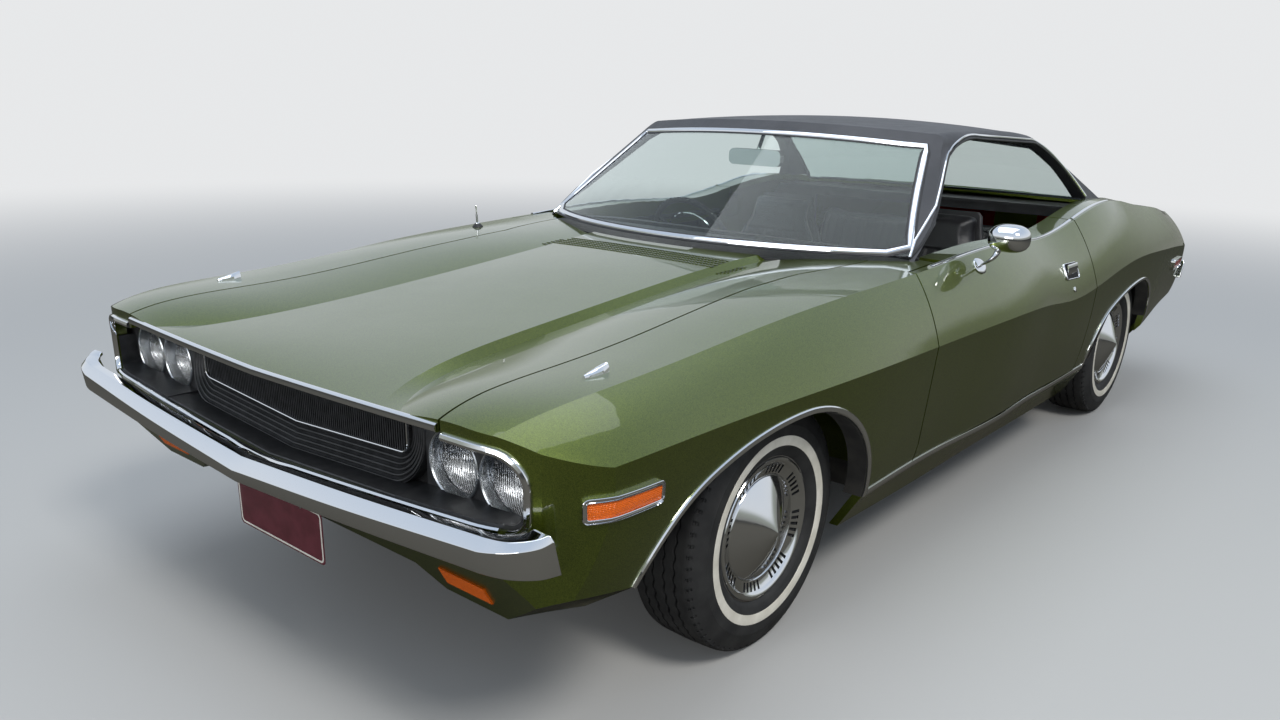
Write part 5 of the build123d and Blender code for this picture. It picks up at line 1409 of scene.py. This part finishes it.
def sew(piece, lines, facing, room):
    """Sews channels into a pad where it faces one way. Each line is a place across the pad,
    and room gives the low and high corner of the sewn panel."""
    facing = facing.normalized()
    low, high = (Vector(corner) for corner in room)
    mesh = piece.data
    normals = [vert.normal.copy() for vert in mesh.vertices]
    for vert, normal in zip(mesh.vertices, normals):
        share = max(0.0, min(1.0, (normal.dot(facing) - 0.35) / 0.3))
        co = vert.co
        inside = min(co.x - low.x, high.x - co.x, co.z - low.z, high.z - co.z)
        if share <= 0 or inside < -0.02:
            continue
        fade = max(0.0, min(1.0, inside / 0.015 + 0.5))
        gap = min(abs(co.y - line) for line in lines)
        depth = PLEAT_DEPTH * math.exp(-(gap / PLEAT_WIDTH) ** 2) * fade
        if lines[0] - 0.01 < co.y < lines[-1] + 0.01:
            depth += 0.004 * math.exp(-(inside / 0.006) ** 2)
        vert.co = co - normal * depth * share


def ring_block(rows):
    """Rings of rounded rectangles: (centre, half across y, the other way, its half, corner)."""
    rings = []
    for centre, half_y, other, half_other, corner in rows:
        corners = block_corners(-half_y, -half_other, half_y, half_other)
        rings.append([Vector(centre) + Vector((0, 1, 0)) * point.real + Vector(other) * point.imag
                      for point in outline(corners, corner, 4)])
    return rings


def make_pad(name, rows):
    """A padded piece that starts from a block of rings."""
    bm = bmesh.new()
    sweep(bm, ring_block(rows))
    piece = keep(bm, name, LEATHER)
    fill_pad(piece)
    piece.data.shade_smooth()
    return piece


def copy_across(piece, name, shift):
    """The same pad in another place across the car."""
    mesh = piece.data.copy()
    mesh.transform(Matrix.Translation((0, shift, 0)))
    twin = bpy.data.objects.new(name, mesh)
    bpy.context.scene.collection.objects.link(twin)
    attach(twin, "root")
    return twin


SEAT_Y = 0.385
BACK_LEAN = math.atan2(0.095, 0.460)
REAR_LEAN = math.atan2(0.120, 0.380)

# Rows of a front cushion from back to front: place x, half width, middle height, half thickness
FRONT_CUSHION = ((-0.232, 0.205, 0.372, 0.040), (-0.215, 0.222, 0.374, 0.055), (-0.150, 0.228, 0.378, 0.062),
                 (0.000, 0.230, 0.388, 0.062), (0.110, 0.230, 0.396, 0.060), (0.160, 0.226, 0.392, 0.052),
                 (0.182, 0.214, 0.380, 0.036))
# Rows of a front back from its foot up: rise, half width, half thickness
FRONT_BACK = ((0.010, 0.205, 0.030), (0.030, 0.222, 0.036), (0.150, 0.228, 0.038), (0.270, 0.222, 0.038),
              (0.340, 0.195, 0.036), (0.390, 0.160, 0.034), (0.450, 0.145, 0.033), (0.485, 0.138, 0.030),
              (0.500, 0.122, 0.020))
SHELL = ((-0.300, 0.215, 0.030), (-0.285, 0.222, 0.038), (0.135, 0.222, 0.038), (0.165, 0.210, 0.026))
SHELL_Z = 0.292
RAIL_Y = 0.17
RAIL_HALF = 0.012
REAR_CUSHION = ((-0.985, 0.560, 0.440, 0.030), (-0.965, 0.578, 0.444, 0.036), (-0.850, 0.582, 0.450, 0.042),
                (-0.740, 0.582, 0.454, 0.044), (-0.690, 0.576, 0.450, 0.038), (-0.668, 0.562, 0.444, 0.024))
REAR_BACK = ((0.015, 0.555, 0.022), (0.035, 0.572, 0.030), (0.180, 0.578, 0.032), (0.320, 0.570, 0.030),
             (0.352, 0.545, 0.022), (0.365, 0.520, 0.012))


def back_place(foot, lean, y, rise, depth):
    """A place in a seat's back: up its front face from the foot, and in from that face."""
    return Vector((foot.real - math.sin(lean) * rise - math.cos(lean) * depth, y,
                   foot.imag + math.cos(lean) * rise - math.sin(lean) * depth))


def through_back(lean):
    """The way through a seat's back, from its rear face to its front."""
    return Vector((math.cos(lean), 0, math.sin(lean)))


def make_front_seats():
    """Bucket seats: pleated pads in hard shells, on floor rails."""
    foot = -0.300 + 0.470j
    through = through_back(BACK_LEAN)
    cushion = make_pad("left_seat_cushion", [((x, SEAT_Y, mid), half, UP, thick, 0.026)
                                             for x, half, mid, thick in FRONT_CUSHION])
    back = make_pad("left_seat_back", [(back_place(foot, BACK_LEAN, SEAT_Y, rise, 0.052), half, through,
                                        thick, thick * 0.7) for rise, half, thick in FRONT_BACK])
    sew(cushion, pleats(SEAT_Y, 8), UP, ((-0.19, 0, 0.30), (0.125, 0, 0.60)))
    sew(back, pleats(SEAT_Y, 8), Vector((1, 0, 0.2)), ((-1, 0, 0.545), (0, 0, 0.795)))
    copy_across(cushion, "right_seat_cushion", -2 * SEAT_Y)
    copy_across(back, "right_seat_back", -2 * SEAT_Y)
    shells = bmesh.new()
    for _, side in SIDES:
        y = side * SEAT_Y
        sweep(shells, ring_block([((x, y, SHELL_Z), half, UP, thick, 0.014) for x, half, thick in SHELL]))
        sweep(shells, ring_block([(back_place(foot, BACK_LEAN, y, rise, 0.100), half * 0.97, through,
                                   0.011, 0.009) for rise, half, _ in FRONT_BACK]))
        for rail in (y - RAIL_Y, y + RAIL_Y):
            box_between(shells, (-0.34, rail - RAIL_HALF, 0.2355), (0.150, rail + RAIL_HALF, 0.262), 0.003)
    piece = keep(shells, "front_seat_shells", VINYL)
    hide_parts("front_seats")


def make_rear_seat():
    """A bench with two pleated places."""
    foot = -0.985 + 0.505j
    through = through_back(REAR_LEAN)
    cushion = make_pad("rear_seat_cushion", [((x, 0, mid), half, UP, thick, 0.024)
                                             for x, half, mid, thick in REAR_CUSHION])
    back = make_pad("rear_seat_back", [(back_place(foot, REAR_LEAN, 0, rise, 0.046), half, through, thick,
                                        thick * 0.75) for rise, half, thick in REAR_BACK])
    for centre in (-0.30, 0.30):
        sew(cushion, pleats(centre, 10), UP, ((-0.95, 0, 0.30), (-0.71, 0, 0.70)))
        sew(back, pleats(centre, 10), Vector((1, 0, 0.3)), ((-1.3, 0, 0.56), (-0.9, 0, 0.80)))
    base = bmesh.new()
    box_between(base, (-0.985, -0.580, 0.4005), (-0.680, 0.580, 0.412), 0.004)
    piece = keep(base, "rear_seat_base", VINYL)
    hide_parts("rear_seat")


# Dashboard: dials, pad roll, glove box lid and vents

DASH_WAY = Vector((-0.915, 0, 0.404)).normalized()
DASH_UP = Vector((0.404, 0, 0.915))
LOW_DASH_WAY = Vector((-0.911, 0, -0.414))
LOW_DASH_UP = Vector((-0.414, 0, 0.911))
DIAL_PLACES_Y = (-0.540, -0.446, -0.352, -0.258)
DIAL_RIM = ((0.0300, -0.002), (0.0300, 0.0040), (0.0325, 0.0060), (0.0350, 0.0045), (0.0358, -0.002))
DIAL_FACE = ((0.0, 0.0010), (0.0302, 0.0010), (0.0302, -0.002))
DIAL_MARKS = 12
NEEDLE_TURN = -1.9
VENT_PLACES_Y = (-0.640, -0.130, 0.130, 0.650)
VENT_HALF = Vector((0.0035, 0.040, 0.0012))
LID_SECTION = ((0.0, -0.002), (0.0, 0.004), (0.006, 0.006), (0.060, 0.006), (0.066, 0.004), (0.066, -0.002))
ROLL_HALF = 0.735
ROLL_SECTION = ((-1, -0.6), (-1.25, 0), (-1, 0.6), (0, 1), (1.2, 0.8), (1.2, -0.4))


def make_dials():
    rims = bmesh.new()
    faces = bmesh.new()
    marks = bmesh.new()
    across = DASH_WAY.cross(DASH_UP)
    for y in DIAL_PLACES_Y:
        centre = Vector((0.435, y, 0.834)) + DASH_WAY * 0.001
        spin_profile(rims, DIAL_RIM, centre, DASH_WAY, 48)
        spin_profile(faces, DIAL_FACE, centre, DASH_WAY, 32)
        for step in range(DIAL_MARKS + 1):
            angle = math.radians(-130 + 260 * step / DIAL_MARKS)
            ray = DASH_UP * math.cos(angle) + across * math.sin(angle)
            long = 0.0055 if step % 3 == 0 else 0.0032
            rod_between(marks, centre + ray * 0.0275 + DASH_WAY * 0.0014,
                        centre + ray * (0.0275 - long) + DASH_WAY * 0.0014, 0.0005, 4)
        ray = DASH_UP * math.cos(NEEDLE_TURN) + across * math.sin(NEEDLE_TURN)
        rod_between(marks, centre + DASH_WAY * 0.0024, centre + ray * 0.022 + DASH_WAY * 0.0024, 0.0007, 5)
    keep(rims, "dial_rims", CHROME)
    keep(faces, "dial_faces", SHADOW)
    keep(marks, "dial_marks", CREAM)


def make_dash():
    make_dials()
    vents = bmesh.new()
    for y in VENT_PLACES_Y:
        centre = Vector((0.445, y, 0.745)) + LOW_DASH_WAY * 0.001
        for bar in range(5):
            middle = centre + LOW_DASH_UP * (-0.018 + 0.009 * bar) - Vector((0.0005, 0, 0))
            box_between(vents, middle - VENT_HALF, middle + VENT_HALF, 0.0005)
    keep(vents, "dash_vents", CHROME)
    lid = bmesh.new()
    sweep(lid, [[Vector((0.4350, y, 0.7680)) + LOW_DASH_WAY * out - LOW_DASH_UP * drop
                 for drop, out in LID_SECTION] for y in spread(0.200, 0.560, 8)])
    keep(lid, "glove_box_lid", VINYL)
    rings = []
    for y in spread(-ROLL_HALF, ROLL_HALF, 40):
        sink = 0.010 * (abs(y) / ROLL_HALF) ** 6
        rings.append([Vector((0.452 + 0.015 * u, y, 0.880 - sink + 0.013 * v)) for u, v in ROLL_SECTION])
    roll = bmesh.new()
    sweep(roll, rings)
    keep(roll, "dash_pad_roll", VINYL)


# Steering wheel: a bright horn ring with three arms, the hub's cover and the grip's nubs

COLUMN_WAY = Vector((0.906308, 0, -0.422618))
COLUMN_UP = Vector((0.422618, 0, 0.906308))
WHEEL_CENTRE = Vector((0.227, -0.370, 0.803))
HORN_RING = ((0.118, -0.004), (0.1215, -0.0075), (0.125, -0.004), (0.1215, -0.0005), (0.118, -0.004))
HUB = ((0.0, -0.022), (0.018, -0.021), (0.030, -0.016), (0.036, -0.006), (0.037, 0.004), (0.030, 0.010))
GRIP_NUBS = 60


def wheel_ray(degrees):
    """The way out from the steering wheel's middle, turned from the top."""
    return Matrix.Rotation(math.radians(degrees), 3, COLUMN_WAY) @ COLUMN_UP


def make_steering_trim():
    ring = bmesh.new()
    spin_profile(ring, HORN_RING, WHEEL_CENTRE, COLUMN_WAY, 72)
    for degrees in (90, 210, 330):
        ray = wheel_ray(degrees)
        rod_between(ring, WHEEL_CENTRE + ray * 0.030 - COLUMN_WAY * 0.006,
                    WHEEL_CENTRE + ray * 0.120 - COLUMN_WAY * 0.004, 0.0042, 8)
    keep(ring, "horn_ring", CHROME, "steering_wheel")
    hub = bmesh.new()
    spin_profile(hub, HUB, WHEEL_CENTRE, COLUMN_WAY, 40)
    keep(hub, "steering_hub_cover", VINYL, "steering_wheel")
    grips = bmesh.new()
    for step in range(GRIP_NUBS):
        place = WHEEL_CENTRE + wheel_ray(360 / GRIP_NUBS * step) * 0.1895 + COLUMN_WAY * 0.0055
        rod_between(grips, place - COLUMN_WAY * 0.004, place + COLUMN_WAY * 0.0055, 0.0036, 8)
    keep(grips, "steering_grip_nubs", VINYL, "steering_wheel")


# Door trim: panel with sewn lines, armrest, pull and window winder

DOOR_START_Y = 0.80
DOOR_PANEL = (-0.470 + 0.430j, 0.690 + 0.430j, 0.690 + 0.850j, -0.470 + 0.850j)
ARMREST_Z = 0.640
# Rows of the armrest from back to front: place x, reach into the cabin, half height
ARMREST = ((-0.330, 0.012, 0.018), (-0.318, 0.040, 0.026), (-0.250, 0.056, 0.030), (-0.050, 0.058, 0.030),
           (0.080, 0.050, 0.028), (0.140, 0.030, 0.022), (0.155, 0.012, 0.014))
ARMREST_SECTION = ((-0.1, -0.8), (0.6, -1), (0.92, -0.7), (1, 0), (0.92, 0.7), (0.7, 0.95), (-0.1, 1))
WINDER_HUB = ((0.0, 0.020), (0.012, 0.019), (0.016, 0.012), (0.019, 0.0), (0.019, -0.004))
WINDER_KNOB = ((0.0, 0.042), (0.008, 0.041), (0.010, 0.034), (0.0085, 0.016), (0.0, 0.012))
LATCH_HUB = ((0.0, 0.012), (0.014, 0.011), (0.017, 0.0), (0.017, -0.004))


def sewn_section():
    """The door panel's section, with eight sewn lines across its lower part."""
    section = [(0.0, -0.002), (0.0, 0.006), (0.02, 0.009)]
    for step in range(1, 9):
        rise = 0.08 + 0.075 * step
        section += [(rise - 0.010, 0.010), (rise, 0.006), (rise + 0.010, 0.010)]
    return section + [(0.80, 0.010), (0.97, 0.009), (1.0, 0.005), (1.0, -0.002)]


def make_door_trim():
    skin = Skin("left_door")

    def inside(x, z, side, off):
        """A place just inside the door's inner face."""
        place, _ = skin.under((x, DOOR_START_Y, z), OUTWARD)
        return Vector((x, side * (place.y - off), z))

    for word, side in SIDES:
        body = f"{word}_door"
        inward = Vector((0, -side, 0))
        panel = bmesh.new()
        skin_panel(panel, skin, OUTWARD, DOOR_PANEL, sewn_section(), spread(0.0, 1.0, 40), side,
                   DOOR_START_Y)
        keep(panel, f"{word}_door_panel", VINYL, body, 50)
        rest = bmesh.new()
        sweep(rest, [[inside(x, ARMREST_Z, side, 0.005 + out * u) + Vector((0, 0, half * v))
                      for u, v in ARMREST_SECTION] for x, out, half in ARMREST])
        keep(rest, f"{word}_armrest", VINYL, body)
        handles = bmesh.new()
        hub = inside(0.380, 0.660, side, 0.008)
        knob = hub + Vector((0.075, 0, -0.040))
        spin_profile(handles, WINDER_HUB, hub, inward, 28)
        rod_between(handles, hub + inward * 0.015, knob + inward * 0.015, 0.006, 10)
        spin_profile(handles, WINDER_KNOB, knob, inward, 20)
        latch = inside(0.250, 0.740, side, 0.008)
        spin_profile(handles, LATCH_HUB, latch, inward, 24)
        rod_between(handles, latch + inward * 0.009, latch + inward * 0.013 + Vector((-0.085, 0, 0.004)),
                    0.0055, 10)
        keep(handles, f"{word}_door_handles_inside", CHROME, body)


# Tail: lamp frames and ribs, and the panel between them

TAIL_START_X = -2.33
TAIL_MIDDLE_Z = 0.718
TAIL_LAMP = block_corners(0.116, 0.664, 0.664, 0.772)
TAIL_PANEL = block_corners(-0.108, 0.672, 0.108, 0.764)


def make_tail_trim():
    skin = Skin("tail_lamps", "tail_panel")
    for word, side in SIDES:
        face_x = min(skin.under((TAIL_START_X, side * 0.39, TAIL_MIDDLE_Z), FORWARD)[0].x, -2.334)
        line = [complex(side * point.real, point.imag) for point in dense(outline(TAIL_LAMP, 0.012), 0.03)]
        marks = facing_all(line, face_x, BACKWARD)
        moulding(f"{word}_tail_lamp_frame", marks, 0.010, 0.009, CHROME, closed=True)
        ribs = bmesh.new()
        near, far = sorted((side * 0.122, side * 0.658))
        for level in range(1, 4):
            z = 0.668 + 0.025 * level
            box_between(ribs, (face_x - 0.003, near, z - 0.0012), (face_x + 0.002, far, z + 0.0012),
                        0.0006)
        for y in spread(side * 0.255, side * 0.525, 2):
            box_between(ribs, (face_x - 0.0035, y - 0.0018, 0.669), (face_x + 0.002, y + 0.0018, 0.767),
                        0.0006)
        keep(ribs, f"{word}_tail_lamp_ribs", CHROME)
    place, _ = skin.under((TAIL_START_X, 0.0, TAIL_MIDDLE_Z), FORWARD)
    panel = bmesh.new()
    marks = facing_all(dense(outline(TAIL_PANEL, 0.008), 0.03), place.x, BACKWARD)
    pad_between(panel, marks, 0.002, ((0.003, 0.001), (0.004, 0.004)))
    keep(panel, "tail_centre_panel", RING)


# Under the hood: valve covers, air cleaner lid, battery, brake booster and radiator cap

# Rows of a valve cover along the engine: place x, and the share of its full section
VALVE_COVER = ((1.080, 0.85), (1.090, 1.0), (1.600, 1.0), (1.610, 0.85))
VALVE_SECTION = ((-1, -0.4), (-1, 0.5), (-0.75, 1), (0.75, 1), (1, 0.5), (1, -0.4))
CLEANER_X = 1.355
CLEANER_LID = ((0.0, 0.004), (0.150, 0.004), (0.158, 0.001), (0.192, -0.002), (0.194, -0.010),
               (0.190, -0.014))
WING_NUT = ((0.0, 0.012), (0.010, 0.012), (0.013, 0.006), (0.016, 0.003))
BOOSTER = ((0.0, 0.090), (0.020, 0.090), (0.022, 0.072), (0.090, 0.060), (0.112, 0.040), (0.114, 0.020),
           (0.108, 0.0), (0.0, -0.012))
RADIATOR_CAP = ((0.0, 0.014), (0.024, 0.013), (0.030, 0.006), (0.031, -0.002))


def make_engine_trim():
    covers = bmesh.new()
    for _, side in SIDES:
        sweep(covers, [[Vector((x, side * (0.185 + 0.062 * u * grow), 0.700 + 0.034 * v * grow))
                        for u, v in VALVE_SECTION] for x, grow in VALVE_COVER])
    keep(covers, "valve_covers", ENGINE_ORANGE)
    lid = bmesh.new()
    top, _ = Skin("engine").under((CLEANER_X, 0, 1.2), DOWNWARD)
    centre = Vector((CLEANER_X, 0, top.z))
    spin_profile(lid, CLEANER_LID, centre, UP, 72)
    spin_profile(lid, WING_NUT, centre, UP, 20)
    keep(lid, "air_cleaner_lid", ENGINE_ORANGE)
    battery = bmesh.new()
    box_between(battery, (1.900, 0.420, 0.500), (2.080, 0.560, 0.690), 0.006)
    for y in (0.450, 0.530):
        rod_between(battery, (1.990, y, 0.689), (1.990, y, 0.704), 0.010, 14)
    keep(battery, "battery", SEAL)
    booster = bmesh.new()
    spin_profile(booster, BOOSTER, (0.9150, -0.330, 0.690), FORWARD, 48)
    box_between(booster, (0.995, -0.360, 0.660), (1.120, -0.300, 0.712), 0.006)
    keep(booster, "brake_booster", METAL)
    cap = bmesh.new()
    place, _ = Skin("front_structure").under((2.130, 0.0, 1.0), DOWNWARD)
    spin_profile(cap, RADIATOR_CAP, place, UP, 28)
    keep(cap, "radiator_cap", CHROME)


# Bumpers: a blade whose crease runs up to its top edge where it turns round the corner

# Rows from the middle to the tip: place x and y, the way the face looks in degrees, and heights
# of the lower edge, the crease and the upper edge; then how far the upper edge lies behind the face
FRONT_BUMPER = (
    (2.4297, 0.000, 0, 0.499, 0.528, 0.556, 0.027), (2.4257, 0.420, 2, 0.521, 0.558, 0.581, 0.027),
    (2.4087, 0.820, 6, 0.541, 0.587, 0.606, 0.024), (2.3917, 0.884, 40, 0.543, 0.598, 0.613, 0.015),
    (2.3517, 0.926, 68, 0.542, 0.606, 0.620, 0.010), (2.3057, 0.940, 86, 0.541, 0.614, 0.627, 0.007))
REAR_BUMPER = (
    (-2.4296, 0.000, 180, 0.500, 0.546, 0.590, 0.027), (-2.4246, 0.420, 178, 0.502, 0.548, 0.592, 0.027),
    (-2.4056, 0.805, 172, 0.506, 0.556, 0.596, 0.022), (-2.3856, 0.862, 142, 0.508, 0.566, 0.598, 0.015),
    (-2.3416, 0.894, 112, 0.510, 0.576, 0.600, 0.010), (-2.2776, 0.908, 94, 0.512, 0.584, 0.602, 0.007))
BLADE = 0.009
BLADE_ROUNDING = 0.0034
TIP_SLANT = 0.30
TIP_ROWS = 9
BRACKET_Y = 0.400
BRACKET_HALF = 0.022


def blade_section(row, slant):
    """The section across a bumper, open behind, with its upper part set back by the slant."""
    x, y, heading, low, crease, top, lean = row
    out = Vector((math.cos(math.radians(heading)), math.sin(math.radians(heading)), 0))
    along = Vector((-out.y, out.x, 0)) * (1 if x > 0 else -1)
    return [Vector((x, y, 0)) + out * reach - along * slant * (height - low) + Vector((0, 0, height))
            for reach, height in ((-0.034, low), (-0.006, low), (0.0, crease), (-lean, top), (-0.048, top),
                                  (-0.048, top - BLADE), (-lean - BLADE, top - BLADE),
                                  (-BLADE - 0.001, crease - 0.003), (-0.006 - BLADE, low + BLADE),
                                  (-0.034, low + BLADE))]


def blade_rows(rows):
    """The rows with more between them: one smooth run across the car and one round the corner."""
    lead = [value + (before - value) * 0.16 for value, before in zip(rows[2], rows[1])]
    filled = []
    for run, steps, skip in ((rows[:3], 12, 0), ([lead] + list(rows[2:]), 7, 7)):
        parts = [smooth_line([row[start:start + 3] for row in run], steps) for start in (0, 3)]
        leans = smooth_line([(row[6], 0, 0) for row in run], steps)
        joined = [(*place, *heights, lean.x) for place, heights, lean in zip(*parts, leans)]
        filled += joined[skip + (1 if filled else 0):]
    return filled


def make_bumper(name, rows):
    """The blade from tip to tip, with two brackets behind it."""
    half = blade_rows(rows)
    rings = []
    for index, row in enumerate(half):
        tip = max(0.0, (index - len(half) + 1 + TIP_ROWS) / TIP_ROWS)
        rings.append(blade_section(row, TIP_SLANT * tip))
    other = [[Vector((place.x, -place.y, place.z)) for place in ring] for ring in reversed(rings[1:])]
    bm = bmesh.new()
    sweep(bm, other + rings)
    bmesh.ops.recalc_face_normals(bm, faces=bm.faces)
    edges = [edge for edge in bm.edges if len(edge.link_faces) == 2 and edge.calc_face_angle(0) > 0.3]
    bmesh.ops.bevel(bm, geom=edges, offset=BLADE_ROUNDING, offset_type="OFFSET", segments=3, profile=0.5,
                    affect="EDGES", material=-1, clamp_overlap=True)
    way = 1 if rows[0][0] > 0 else -1
    face_x, _, _, low, crease, *_ = rows[1]
    near, far = sorted((face_x - way * 0.012, face_x - way * 0.110))
    for _, side in SIDES:
        y = side * BRACKET_Y
        box_between(bm, (near, y - BRACKET_HALF, low + 0.012), (far, y + BRACKET_HALF, crease - 0.004),
                    0.002)
    piece = keep(bm, f"{name}_blade", CHROME, sharp=40)
    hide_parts(name)


# Door mirror: an oval shell on a curved foot, with its glass facing back

MIRROR_HEAD = Vector((0.368, 0.953, 0.966))
MIRROR_DEPTH = 0.064
MIRROR_HALF_Y = 0.064
MIRROR_HALF_Z = 0.043
SQUARENESS = 0.78
# The rim round the glass: place x, and the share of the full oval
MIRROR_RIM = ((0.004, 0.90), (0.0, 0.93), (-0.002, 0.985), (0.003, 1.0))
MIRROR_STEPS = 10


def oval(x, share, count=40):
    """A ring of the head's oval, with full shoulders, in the plane across the car."""
    ring = []
    for step in range(count):
        angle = math.tau * step / count
        u, v = math.cos(angle), math.sin(angle)
        ring.append(MIRROR_HEAD + Vector((x, MIRROR_HALF_Y * share * math.copysign(abs(u) ** SQUARENESS, u),
                                          MIRROR_HALF_Z * share * math.copysign(abs(v) ** SQUARENESS, v))))
    return ring


def level_ring(centre, half_x, half_y, count):
    """A level ellipse about a place."""
    return [centre + Vector((half_x * math.cos(math.tau * step / count),
                             half_y * math.sin(math.tau * step / count), 0)) for step in range(count)]


def make_door_mirror():
    skin = Skin("left_door")
    shell = bmesh.new()
    rings = [oval(x, share) for x, share in MIRROR_RIM]
    for step in range(1, MIRROR_STEPS + 1):
        turn = math.radians(9 * step - (2 if step == MIRROR_STEPS else 0))
        rings.append(oval(0.003 + (MIRROR_DEPTH - 0.003) * math.sin(turn), math.cos(turn) ** 0.7))
    sweep(shell, rings)
    foot, facing = skin.under((0.400, 0.880, 1.0), DOWNWARD)
    stalk = []
    for share in spread(0.0, 1.0, 10):
        place = foot.lerp(MIRROR_HEAD + Vector((0.026, -0.022, -0.034)), share)
        place += Vector((0.010, 0.016, 0)) * math.sin(math.pi * share)
        stalk.append(level_ring(place, 0.020 - 0.008 * share, 0.0075 + 0.002 * share, 16))
    sweep(shell, stalk)
    line = [tuple(place + Vector((0, 0, 0.1))) for place in level_ring(foot, 0.036, 0.017, 28)]
    marks = [(place, facing) for place, _ in skin.trace(line, DOWNWARD, 0)]
    pad_between(shell, marks, 0.002, ((0.003, 0.0), (0.006, 0.004), (0.0075, 0.010)))
    piece = keep(shell, "left_mirror_shell", CHROME, "left_door", 50)
    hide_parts("door_mirror")
    glass = bmesh.new()
    sweep(glass, [oval(x, 0.925) for x in (0.0008, 0.0035)])
    keep(glass, "left_mirror_glass", MIRROR, "left_door")


finish_nodes()
make_wheels()
make_side_mouldings()
make_nose_mouldings()
make_grille_insert()
make_head_lamps()
make_marker_lamps()
make_pane_surrounds()
make_cabin_mouldings()
make_fender_indicators()
make_door_handles()
make_antenna()
make_louvres()
make_plate()
make_bumper("front_bumper", FRONT_BUMPER)
make_bumper("rear_bumper", REAR_BUMPER)
make_door_mirror()
make_grille_ribs()
make_front_seats()
make_rear_seat()
make_dash()
make_steering_trim()
make_door_trim()
make_tail_trim()
make_engine_trim()

view = bpy.context.scene.view_settings
view.view_transform = "Standard"
